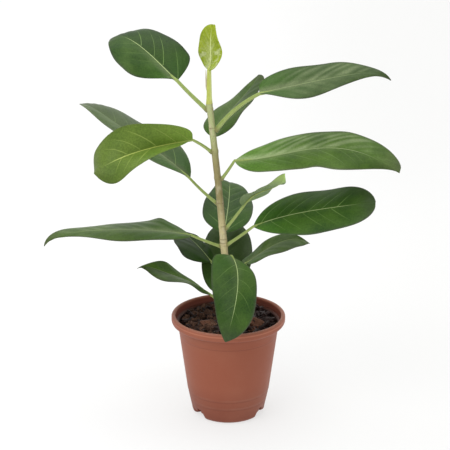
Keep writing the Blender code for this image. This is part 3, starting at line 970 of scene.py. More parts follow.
@dataclass
class Tube:
    """A closed tube along a route, extruded ring by ring.

    Args:
        name: The object's name.
        route: Points in millimetres.
        radii: The radius at each point.
        side: A direction across the route, which the first ring starts from.
        sides: Sides of the tube.
        swell: Called with the turn round the tube and the place along it, gives a factor.
    """

    name: str
    route: Sequence[Vector]
    radii: Sequence[float]
    side: Vector
    sides: int = 12
    swell: Optional[Callable[[float, float], float]] = None

    def _frames(self) -> list[tuple[Vector, Vector]]:
        """Give two directions across the route at each point, carried on without twist.

        Returns:
            The two directions for each point.
        """
        frames = []
        across = self.side.normalized()
        last = len(self.route) - 1
        for index in range(last + 1):
            ahead = self.route[min(index + 1, last)] - self.route[max(index - 1, 0)]
            ahead.normalize()
            across = (across - ahead * across.dot(ahead)).normalized()
            frames.append((across.copy(), ahead.cross(across)))
        return frames

    def build(self) -> Object:
        """Extrude a circle once for each point of the route and lead its rings along it.

        Returns:
            The tube.
        """
        bpy.ops.mesh.primitive_circle_add(vertices=self.sides, radius=1.0, fill_type="NGON")
        obj = bpy.context.object
        obj.name = self.name
        steps = len(self.route) - 1

        def extrude() -> None:
            """Extrude one ring for each step of the route."""
            for _ in range(steps):
                bpy.ops.mesh.extrude_region_move(TRANSFORM_OT_translate={"value": (0, 0, 1)})

        edit(obj, extrude)
        frames = self._frames()
        placed = []
        marks = []
        turns = []
        for x, y, z in points_of(obj.data):
            ring = int(round(z))
            turn = math.atan2(y, x)
            across, up = frames[ring]
            radius = self.radii[ring]
            if self.swell:
                radius *= self.swell(turn, ring / steps)
            outward = across * math.cos(turn) + up * math.sin(turn)
            placed.append((self.route[ring] + outward * radius) * MM)
            marks.append(((math.sin(turn) + 1) / 2, ring / steps))
            turns.append(((math.cos(turn) + 1) / 2, ring / steps))
        move_points(obj.data, np.array([tuple(point) for point in placed]))
        paint_uv(obj.data, "tube", np.array(marks))
        paint_uv(obj.data, "turn", np.array(turns))
        edit(obj, lambda: bpy.ops.mesh.normals_make_consistent(inside=False))
        return obj


def along_run(values: Sequence[float], share: float) -> float:
    """Read a run of two or three values at a share of the way along it.

    Args:
        values: The run.
        share: 0 at its start, 1 at its end.

    Returns:
        The value there.
    """
    if len(values) == 2:
        return values[0] + (values[1] - values[0]) * share
    base, middle, tip = values
    base_part = base * (1 - share) * (1 - 2 * share)
    return base_part + 4 * middle * share * (1 - share) + tip * share * (2 * share - 1)


def direction(heading: float, pitch: float) -> Vector:
    """Unit vector of a heading and pitch in degrees.

    Args:
        heading: Turn from +X towards +Y.
        pitch: Climb over level.

    Returns:
        The direction, 1 unit long.
    """
    turn = math.radians(heading)
    climb = math.radians(pitch)
    level = math.cos(climb)
    return Vector((level * math.cos(turn), level * math.sin(turn), math.sin(climb)))


@dataclass
class Stem:
    """The one slender stem, which leans to the left as it climbs.

    Args:
        foot, top: Heights of its foot on the potting mix and of its flat top.
        lean, bend: How far the top stands to the left of the foot, and how late it gets there.
        radius, taper: Radius above the root flare, and how much thinner the top is.
        flare, flare_height: How much wider the foot is, and how far up that reaches.
        swell, swell_height: How much thicker it is at a leaf, and half the swelling's height.
        scar: Strength of the ridge under a leaf, its place below and how sharp it is.
        bumps, ridges: Round, along and height of the bark's broad bumps and of its fine ones.
        rings, sides: Rings and sides of the tube.
        nodes: Heights of the leaves.
    """

    foot: float = 142.0
    top: float = 474.0
    lean: float = 27.2
    bend: float = 1.4
    radius: float = 5.3
    taper: float = 0.9
    flare: float = 1.3
    flare_height: float = 9.0
    swell: float = 0.55
    swell_height: float = 2.6
    scar: Triple = (0.4, 2.4, 9.0)
    bumps: Triple = (1.6, 34.0, 0.05)
    ridges: Triple = (5.0, 14.0, 0.035)
    rings: int = 132
    sides: int = 24
    nodes: tuple[float, ...] = ()

    def _share(self, height: float) -> float:
        """Give how far up the stem a height is, from 0 to 1."""
        return max(0.0, (height - self.foot) / (self.top - self.foot))

    def centre(self, height: float) -> Vector:
        """Give the stem's centre at a height."""
        return Vector((-self.lean * self._share(height) ** self.bend, 0.0, height))

    def reach(self, height: float) -> float:
        """Give the stem's radius at a height, with its root flare and leaf nodes.

        Args:
            height: The height.

        Returns:
            The radius.
        """
        strength, below, sharp = self.scar
        radius = self.radius - self.taper * self._share(height) ** 2
        radius += self.flare * math.exp(-(height - self.foot) / self.flare_height)
        for node in self.nodes:
            above = (height - node) / self.swell_height
            radius += self.swell * math.exp(-above ** 2)
            radius += strength * self.swell * math.exp(-(above + below) ** 2 * sharp)
        return radius

    def build(self) -> Object:
        """Build the stem with uneven bark.

        Returns:
            The stem.
        """
        heights = [self.foot + (self.top - self.foot) * k / self.rings for k in range(self.rings + 1)]
        route = [self.centre(height) for height in heights]
        radii = [self.reach(height) for height in heights]

        def uneven(turn: float, share: float) -> float:
            """Give the bark's bumps round and along the stem.

            Args:
                turn: The turn round it.
                share: The place along it.

            Returns:
                A factor on the radius.
            """
            factor = 1.0
            for around, along, height in (self.bumps, self.ridges):
                spot = Vector((math.cos(turn) * around, math.sin(turn) * around, share * along))
                factor += height * noise.noise(spot)
            return factor

        tube = Tube("stem_bark", route, radii, Vector((1, 0, 0)), self.sides, uneven)
        return tube.build()

    def dress(self, obj: Object, bark: Material) -> None:
        """Dress the stem and put it in the frame."""
        cover(obj, bark)
        enter(obj, Slot.BARK, "stem")


@dataclass
class Leaf:
    """One leaf: a thin blade on a stalk that runs on as the midrib.

    A tuple of angles is read along the stalk or the blade, as base and tip, or as base,
    middle and tip. Width, widest place and tapers are pairs, for the half on the left of the
    heading and the half on its right.

    Args:
        name: Name of the solid leaf it stands for.
        node: Height where the stalk leaves the stem.
        stalk, stalk_heading, stalk_pitch: Length, heading and pitch of the stalk.
        length: Length of the blade.
        width: Twice the width of each half.
        heading, pitch: Heading and pitch of the midrib.
        roll: How far the blade turns down on the right of its heading.
        fold: How far both halves lift.
        hook, twist: How far the tip bends up at its end, and how far its right half turns down.
        widest: Where the blade is widest, as a share of its length.
        base_taper, tip_taper: How round the base and the tip are; less is rounder.
        tail: How much of the width runs on to the tip.
        bumps: Half (-1 left, 1 right), place along the margin, height and length of each bump.
        lift: Painted light and shade: how much lighter or darker the left half, the right half
        and the base are made, for how the light falls on them.
        sheen: How strong the painted soft grey sheen on the left and the right half is; more
        than 0.4 adds painted light bands between the side veins.
        marks: How clear the midrib, the left side veins and the right ones are.
        wave, waves, phase: Height and count of the margin's waves, and how far the right
            margin's are out of step.
        camber: How much each half arches between midrib and margin.
        quilt: Depth of the furrows between the side veins.
        ridge: Height and half width of the raised midrib at the base.
        stalk_radius, rib_radius, rib_tip: Radius at the stalk's foot, at the blade's base and
            at the midrib's end.
        rib_taper, rib_reach: How early the midrib gets thin, and the share of the blade it reaches.
        rib_sink: How deep it lies in the blade: a share of its radius, and a length.
        foot_flare: How much thicker the stalk's foot is, and the share of the stalk it takes.
        root: Length of the stalk's foot, most of it inside the stem's bark.
        stand_off: How far a steep stalk stands off the bark, and how far any stalk sinks in.
        dip: How deep an upright stalk starts in the stem's top.
        thickness: Thickness of the blade.
        roundness: How round the outline is where the blade is widest.
        tail_end, late: How late the tail closes, and how late the hook and the twist come.
        blend: Half the width over which the two halves' painted light, shade and sheen, and
        their marks, meet at the midrib.
        vein_slant, vein_curve: How far a side vein runs ahead for each millimetre across, and
            how much more towards the margin.
        vein_spacing, vein_offset: Distance between side veins, and how far the right half's
            are out of step.
        vein_swing: How uneven their distances are, and how fast that changes.
        finish, slot: Kind of finish in the wardrobe, and the record's slot.
        columns, rows, crowding: Columns and rows of the blade's grid, and how much closer the
            columns are near the midrib.
        rib_rings, walk: Rings of the midrib, and the steps it is walked in.
    """

    name: str
    node: float
    stalk: float
    stalk_heading: float
    stalk_pitch: Sequence[float]
    length: float
    width: Pair
    heading: Sequence[float]
    pitch: Sequence[float]
    roll: Sequence[float] = (0.0, 0.0)
    fold: Sequence[float] = (6.0, 6.0)
    hook: float = 0.0
    twist: float = 0.0
    widest: Pair = (0.5, 0.5)
    base_taper: Pair = (0.62, 0.62)
    tip_taper: Pair = (0.75, 0.75)
    tail: float = 0.0
    bumps: Sequence[tuple[float, float, float, float]] = ()
    lift: Triple = (1.0, 1.0, 1.0)
    sheen: Pair = (0.3, 0.3)
    marks: tuple[float, ...] = (1.0, 1.0, 1.0)
    wave: float = 1.2
    waves: float = 2.3
    camber: float = 0.10
    quilt: float = 0.26
    phase: float = 1.7
    ridge: Pair = (0.3, 1.1)
    stalk_radius: float = 2.5
    rib_radius: float = 1.9
    rib_tip: float = 0.25
    rib_taper: float = 0.75
    rib_reach: float = 0.93
    rib_sink: Pair = (0.85, 0.1)
    foot_flare: Pair = (0.7, 0.12)
    root: float = 4.0
    stand_off: Pair = (3.0, 0.5)
    dip: float = 0.2
    thickness: float = 0.7
    roundness: float = 2.2
    tail_end: int = 12
    blend: float = 1.0
    late: int = 9
    vein_slant: float = 0.85
    vein_curve: float = 0.007
    vein_spacing: float = 24.0
    vein_offset: float = 0.4
    vein_swing: Pair = (0.15, 2.4)
    finish: str = "dark"
    slot: Slot = Slot.GREEN
    columns: int = 28
    crowding: float = 1.15
    rows: int = 76
    rib_rings: int = 26
    walk: int = 120

    @property
    def upright(self) -> bool:
        """Whether the stalk stands on the stem's top."""
        return self.stalk_pitch[0] >= 90

    def _start(self, stem: Stem) -> Vector:
        """Give the point just inside the stem's bark, or its top, where the stalk starts.

        Args:
            stem: The stem.

        Returns:
            The point.
        """
        if self.upright:
            return Vector((stem.centre(stem.top).x, 0.0, stem.top - self.dip))
        outward = direction(self.stalk_heading, 0.0)
        steep, sunk = self.stand_off
        clear = steep * math.sin(math.radians(self.stalk_pitch[0])) - sunk
        foot = stem.centre(self.node) + outward * (stem.reach(self.node) + clear)
        return foot - direction(self.stalk_heading, self.stalk_pitch[0]) * self.root

    def stalk_route(self, stem: Stem, steps: int = 12) -> list[Vector]:
        """Give the stalk's centre line from the stem to the blade.

        Args:
            stem: The stem.
            steps: Steps of the free stalk.

        Returns:
            Its points, the blade's base last.
        """
        point = self._start(stem)
        route = [point.copy()]
        if not self.upright:
            point = point + direction(self.stalk_heading, self.stalk_pitch[0]) * self.root
            route.append(point)
        span = self.stalk / steps
        for step in range(steps):
            pitch = along_run(self.stalk_pitch, (step + 0.5) / steps)
            point = point + direction(self.stalk_heading, pitch) * span
            route.append(point)
        return route

    def _angles(self, share: float) -> Pair:
        """Give the midrib's heading and pitch at a share of the blade."""
        pitch = along_run(self.pitch, share) + self.hook * share ** self.late
        return along_run(self.heading, share), pitch

    def _midrib(self, start: Vector) -> list[Vector]:
        """Walk the midrib in fine steps.

        Args:
            start: The blade's base.

        Returns:
            Its points.
        """
        point = start.copy()
        line = [point.copy()]
        for step in range(self.walk):
            heading, pitch = self._angles((step + 0.5) / self.walk)
            point = point + direction(heading, pitch) * (self.length / self.walk)
            line.append(point)
        return line

    def _half(self, share: float, side: int) -> float:
        """Give the width of the left (0) or right (1) half at a share of the length.

        Args:
            share: The share of the length.
            side: 0 or 1.

        Returns:
            The width.
        """
        widest = self.widest[side]
        if share <= widest:
            reach, taper = 1 - share / widest, self.base_taper[side]
        else:
            reach, taper = (share - widest) / (1 - widest), self.tip_taper[side]
        shape = max(0.0, 1 - reach ** self.roundness) ** taper
        tail = self.tail * (1 - share ** self.tail_end) * min(1.0, 3 * share)
        return self.width[side] / 2 * (shape + tail * (1 - shape))

    def _station(self, line: Sequence[Vector], share: float) -> tuple[Vector, Vector, Vector]:
        """Give the midrib's point, and the blade's side and up directions, at a share.

        Args:
            line: The midrib's points.
            share: The share of its length.

        Returns:
            The point and the two directions.
        """
        heading, pitch = self._angles(share)
        turn = math.radians(heading)
        side = Vector((math.sin(turn), -math.cos(turn), 0.0))
        up = side.cross(direction(heading, pitch))
        roll = math.radians(along_run(self.roll, share) + self.twist * share ** self.late)
        rolled = side * math.cos(roll) - up * math.sin(roll)
        upward = up * math.cos(roll) + side * math.sin(roll)
        spot = min(share, 1.0) * self.walk
        index = min(int(spot), self.walk - 1)
        return line[index].lerp(line[index + 1], spot - index), rolled, upward

    def _veins(self, share: float, across: float) -> float:
        """Count the side veins, which aren't evenly spaced, up to a place on the blade.

        Args:
            share: The share of the length.
            across: Distance from the midrib, less than 0 on the left.

        Returns:
            The count, with its fraction.
        """
        reach = abs(across)
        ahead = share * self.length - reach * self.vein_slant - self.vein_curve * reach ** 2
        count = ahead / self.vein_spacing
        if across > 0:
            count += self.vein_offset * min(1.0, reach / 1.5)
        swing, pace = self.vein_swing
        return count + swing * math.sin(pace * count + self.node)

    def _lift(self, share: float, across: float, half: float) -> float:
        """Give the blade's height over its flat, in millimetres.

        Args:
            share: The share of the length.
            across: The share of the half, less than 0 on the left.
            half: The half's width there.

        Returns:
            The height.
        """
        size = abs(across)
        reach = size * half
        fold = math.radians(along_run(self.fold, share))
        height = reach * math.sin(fold)
        height += 2 * self.camber * half * (size - size ** 2)
        phase = self.phase if across > 0 else 0.0
        swing = math.sin(2 * math.pi * self.waves * share + phase + self.node)
        height += self.wave * size ** 3 * swing * max(0.0, math.sin(math.pi * share)) ** 0.5
        for half_side, place, rise, span in self.bumps:
            if across * half_side > 0:
                height += rise * size ** 2 * math.exp(-((share - place) / span) ** 2)
        furrow = math.cos(2 * math.pi * self._veins(share, across * half))
        height += self.quilt * furrow * min(1.0, 3 * size) * min(1.0, 4 * (1 - size))
        rise, width = self.ridge
        return height + rise * (1 - share) * math.exp(-(reach / width) ** 2)

    def _blade(self, line: Sequence[Vector]) -> Object:
        """Shape a grid into the blade, with rows crowded at its ends, and paint its UV maps.

        Args:
            line: The midrib's points.

        Returns:
            The blade, still without thickness.
        """
        cells = {"x_subdivisions": self.columns, "y_subdivisions": self.rows}
        bpy.ops.mesh.primitive_grid_add(size=2.0, calc_uvs=False, **cells)
        obj = bpy.context.object
        placed = []
        maps = {"blade": [], "veins": [], "tone": [], "marks": []}
        for x, y, _ in points_of(obj.data):
            even = (y + 1) / 2
            eased = (1 - math.cos(math.pi * even)) / 2
            share = (even + eased) / 2
            across = math.copysign(abs(x) ** self.crowding, x)
            centre, side, up = self._station(line, share)
            half = self._half(share, 1 if across > 0 else 0)
            fold = math.radians(along_run(self.fold, share))
            point = centre + side * (across * half * math.cos(fold))
            point += up * self._lift(share, across, half)
            placed.append(tuple(point * MM))
            offset = across * half
            right = min(1.0, max(0.0, (offset / self.blend + 1) / 2))
            # Painted light and shade of each half, changed towards the base, and the strength of the
            # painted sheen go into the "tone" map.
            base = 1.0 + (self.lift[2] - 1.0) * (1.0 - share) ** 2
            maps["blade"].append(((across + 1) / 2, share))
            maps["veins"].append((self._veins(share, offset), offset / REACH_UNIT))
            maps["tone"].append((along_run(self.lift[:2], right) * base, along_run(self.sheen, right)))
            maps["marks"].append((self.marks[0], along_run(self.marks[1:], right)))
        move_points(obj.data, np.array(placed))
        for name, values in maps.items():
            paint_uv(obj.data, name, np.array(values))
        edit(obj, lambda: bpy.ops.mesh.remove_doubles(threshold=WELD))
        return obj

    def _thicken(self, obj: Object) -> None:
        """Give the blade its under face.

        Args:
            obj: The blade.
        """
        shell = obj.modifiers.new("thickness", "SOLIDIFY")
        shell.thickness = self.thickness * MM
        shell.offset = -1.0
        shell.material_offset = 1
        shell.material_offset_rim = 0
        apply_modifier(obj, shell)

    def _rib(self, stem: Stem, line: Sequence[Vector]) -> Object:
        """Make the stalk and the midrib it runs on as, sunk under the blade.

        Args:
            stem: The stem.
            line: The midrib's points.

        Returns:
            Both as one tube.
        """
        route = self.stalk_route(stem)
        count = len(route)
        radii = []
        extra, reach = self.foot_flare
        for step in range(count):
            share = step / (count - 1)
            foot = extra * math.exp(-(share / reach) ** 2)
            radii.append(self.stalk_radius + (self.rib_radius - self.stalk_radius) * share + foot)
        depth, skin = self.rib_sink
        for step in range(1, self.rib_rings + 1):
            share = self.rib_reach * step / self.rib_rings
            thinner = (step / self.rib_rings) ** self.rib_taper
            radius = self.rib_radius + (self.rib_tip - self.rib_radius) * thinner
            centre, _, up = self._station(line, share)
            sink = min(1.0, share / reach) * (radius * depth + skin)
            route.append(centre - up * sink)
            radii.append(radius)
        heading = math.radians(self.heading[0] if self.upright else self.stalk_heading)
        side = Vector((math.sin(heading), -math.cos(heading), 0.0))
        return Tube(self.name + "_stalk", route, radii, side, 10).build()

    def build(self, stem: Stem, finishes: "Wardrobe") -> Object:
        """Build the leaf as one piece.

        Args:
            stem: The stem it grows on.
            finishes: The finishes of its faces and stalk.

        Returns:
            The leaf.
        """
        line = self._midrib(self.stalk_route(stem)[-1])
        blade = self._blade(line)
        face, underside, stalk_skin = finishes.leaf(self.finish)
        blade.data.materials.append(face)
        blade.data.materials.append(underside)
        self._thicken(blade)
        smooth(blade, 50.0)
        stalk = self._rib(stem, line)
        cover(stalk, stalk_skin, 50.0)
        return join([blade, stalk], self.name + "_fine")

    def dress(self, obj: Object) -> None:
        """Put the leaf in the frame."""
        enter(obj, self.slot, self.name)


@dataclass
class Pot:
    """The turned nursery pot with its rolled rim and notched foot.

    Args:
        rim_radius, rim_top: Outer radius and height of the rim.
        mouth, rim_depth: Its inner radius, and how far its skirt hangs down.
        wall_top_radius, wall_top: Outer radius and height of the wall under the rim.
        knee_radius, knee: The same where the wall bends; it narrows faster below.
        foot_radius, foot_round: Radius of the flat underside, and of its rounded edge.
        wall, floor: Thickness of the wall and of the floor.
        inside_rise: How far over the wall's top the inside starts to widen into the rim.
        rings, ring_step: Heights of the rings, and how deep the wall steps in under one.
        ring_heights: Start over a ring, end of its step and end of its slope under it.
        shoulder, throat: The outline inside, off the wall's inner top and off the mouth.
        skirt_round, tuck: Radius of the skirt's lower edge, and the outline under it.
        notches, vents: Headings of the foot's notches and of the low side vents.
        notch_lift, notch_fade: How high a notch lifts the foot, and where the lift ends.
        notch_inner, notch_margin: Radius where it starts, and its room there and at its sides.
        notch_half, notch_side: Half of its width and the width of its slope, in degrees.
        drain, vent: Radius of the middle of each drain slot and vent, and its size.
        steps: Steps of the full turn.
    """

    rim_radius: float = 85.0
    rim_top: float = 156.0
    mouth: float = 78.4
    rim_depth: float = 13.6
    wall_top_radius: float = 74.8
    wall_top: float = 137.4
    knee_radius: float = 63.4
    knee: float = 46.0
    foot_radius: float = 47.8
    foot_round: float = 7.6
    wall: float = 2.3
    floor: float = 3.0
    inside_rise: float = 4.0
    rings: Sequence[float] = POT_RINGS
    ring_step: float = 0.35
    ring_heights: Triple = (1.2, 0.9, 5.0)
    shoulder: Sequence[Pair] = ((0.5, 5.6), (1.8, 7.0), (4.6, 8.4))
    throat: Sequence[Pair] = ((-1.0, 9.8), (-0.2, 11.4))
    skirt_round: float = 5.8
    tuck: Sequence[Pair] = ((3.4, -0.5), (1.6, -1.5), (0.6, -3.2))
    notches: Sequence[float] = (94.0, 214.0, 334.0)
    notch_lift: float = 7.0
    notch_fade: float = 20.0
    notch_inner: float = 41.0
    notch_margin: float = 1.5
    notch_half: float = 15.5
    notch_side: float = 6.0
    drain: tuple[float, Triple] = (43.4, (3.6, 11.0, 30.0))
    vents: Sequence[float] = (94.0, 218.0, 330.0)
    vent: tuple[float, Triple] = (53.0, (8.0, 8.6, 29.2))
    steps: int = 144

    def wall_radius(self, height: float) -> float:
        """Give the outer radius of the wall, which widens less above its knee.

        Args:
            height: The height.

        Returns:
            The radius.
        """
        if height > self.knee:
            share = (height - self.knee) / (self.wall_top - self.knee)
            return self.knee_radius + (self.wall_top_radius - self.knee_radius) * share
        low = self.foot_radius + self.foot_round
        share = (height - self.foot_round) / (self.knee - self.foot_round)
        return low + (self.knee_radius - low) * share

    def inner_radius(self, height: float) -> float:
        """Give the inner radius of the wall.

        Args:
            height: The height.

        Returns:
            The radius.
        """
        turn = self.knee_radius - self.wall
        if height > self.knee:
            share = (height - self.knee) / (self.wall_top + self.inside_rise - self.knee)
            return turn + (self.wall_top_radius - self.wall - turn) * share
        low = self.foot_round + self.floor / 2
        share = (height - low) / (self.knee - low)
        start = self.wall_radius(self.foot_round) - self.wall
        return start + (turn - start) * share

    def _arc(self, middle: Pair, size: float, start: float, end: float, count: int) -> list[Pair]:
        """Give the points of a round stretch of the outline.

        Args:
            middle: Radius and height of its middle.
            size: Its own radius.
            start: The angle it starts at, from straight outwards.
            end: The angle it ends at.
            count: Steps between them.

        Returns:
            Its points as radius and height.
        """
        points = []
        for step in range(count + 1):
            angle = math.radians(start + (end - start) * step / count)
            points.append((middle[0] + size * math.cos(angle), middle[1] + size * math.sin(angle)))
        return points

    def profile(self) -> list[Pair]:
        """Give the outline from the floor inside, over the rim, to the underside.

        Returns:
            Its points as radius and height.
        """
        lip = (self.rim_radius - self.mouth) / 2
        base = self.rim_top - self.rim_depth
        inner_top = self.wall_top_radius - self.wall
        sole = (self.notch_inner - 3, self.notch_inner)
        above, step, below = self.ring_heights
        points = [(radius, self.floor) for radius in (0.0, *sole, self.foot_radius - self.wall)]
        low = self.foot_round + self.floor / 2
        for height in (low, 24.0, self.knee, 100.0, self.wall_top + self.inside_rise):
            points.append((self.inner_radius(height), height))
        points += [(inner_top + out, self.wall_top + up) for out, up in self.shoulder]
        points += [(self.mouth + out, self.wall_top + up) for out, up in self.throat]
        points += self._arc((self.mouth + lip, self.rim_top - lip), lip, 180, 0, 14)
        skirt = (self.rim_radius - self.skirt_round, base + self.skirt_round)
        points += self._arc(skirt, self.skirt_round, 0, -80, 9)
        points += [(self.wall_top_radius + out, base + up) for out, up in self.tuck]
        points += [(self.wall_top_radius, self.wall_top)]
        for ring in self.rings:
            radius = self.wall_radius(ring)
            points += [(self.wall_radius(ring + above), ring + above), (radius + 0.1, ring)]
            points += [(radius - self.ring_step, ring - step)]
            points += [(self.wall_radius(ring - below), ring - below)]
        points += self._arc((self.foot_radius, self.foot_round), self.foot_round, 0, -90, 8)
        return points + [(radius, 0.0) for radius in (*reversed(sole), 0.0)]

    def notch(self, points: np.ndarray) -> np.ndarray:
        """Lift the foot over the three notches, the more the lower a point lies.

        Args:
            points: The pot's points, in metres.

        Returns:
            The same points, lifted.
        """
        start = self.notch_inner - self.notch_margin
        for point in points:
            height = point[2] / MM
            if height > self.notch_fade or math.hypot(point[0], point[1]) / MM < start:
                continue
            heading = math.degrees(math.atan2(point[1], point[0]))
            offset = min(abs((heading - notch + 180) % 360 - 180) for notch in self.notches)
            inward = self.notch_half + self.notch_margin - offset
            strength = max(0.0, min(1.0, inward / self.notch_side))
            strength = strength * strength * (3 - 2 * strength)
            point[2] += self.notch_lift * strength * (1 - height / self.notch_fade) * MM
        return points

    def build(self) -> Object:
        """Turn the pot, notch its foot and cut the drain slots.

        Returns:
            The pot.
        """
        obj = spin_profile("pot_shell", self.profile(), self.steps)
        move_points(obj.data, self.notch(points_of(obj.data)))
        for headings, (radius, size) in ((self.notches, self.drain), (self.vents, self.vent)):
            for heading in headings:
                self._cut(obj, radius, math.radians(heading), size)
        return obj

    def _cut(self, obj: Object, radius: float, turn: float, size: Triple) -> None:
        """Cut a square opening in the pot.

        Args:
            obj: The pot.
            radius: Radius of the opening's middle.
            turn: Its heading, in radians.
            size: Its sizes outwards, across and upwards.
        """
        spot = (radius * math.cos(turn) * MM, radius * math.sin(turn) * MM, 0.0)
        bpy.ops.mesh.primitive_cube_add(size=1.0, location=spot, rotation=(0.0, 0.0, turn))
        cutter = bpy.context.object
        cutter.scale = [side * MM for side in size]
        cut = obj.modifiers.new("drain_slot", "BOOLEAN")
        cut.operation = "DIFFERENCE"
        cut.object = cutter
        apply_modifier(obj, cut)
        bpy.data.objects.remove(cutter, do_unlink=True)

    def dress(self, obj: Object, plastic: Material) -> None:
        """Dress the pot and put it in the frame."""
        cover(obj, plastic, 35.0)
        enter(obj, Slot.POT, "pot")


@dataclass(frozen=True)
class Litter:
    """One kind of loose piece on the mix.

    Args:
        name: The piece's name.
        skin: Which finish it wears.
        count: How many lie about by chance.
        sizes: Least and greatest length.
        span: Least and greatest place from left to right.
        shape: Factors of its width and thickness.
        turn, spread: The turn that most of them share, in degrees, and how far they stray.
        tilt: How far they tip, in radians.
        sink: How deep they lie, as a share of their length.
        placed, placed_tilt: Those at set places, as x, y, length and turn, and how they tip.
        widths, heights: Least and greatest further factor on the width and the thickness.
    """

    name: str
    skin: str
    count: int
    sizes: Pair
    span: Pair = (-80.0, 80.0)
    shape: Pair = (1.0, 1.0)
    turn: float = 0.0
    spread: float = 90.0
    tilt: float = 0.35
    sink: float = 0.02
    placed: Sequence[tuple[float, float, float, float]] = ()
    placed_tilt: Pair = (0.1, 0.15)
    widths: Pair = (0.7, 1.3)
    heights: Pair = (0.7, 1.4)


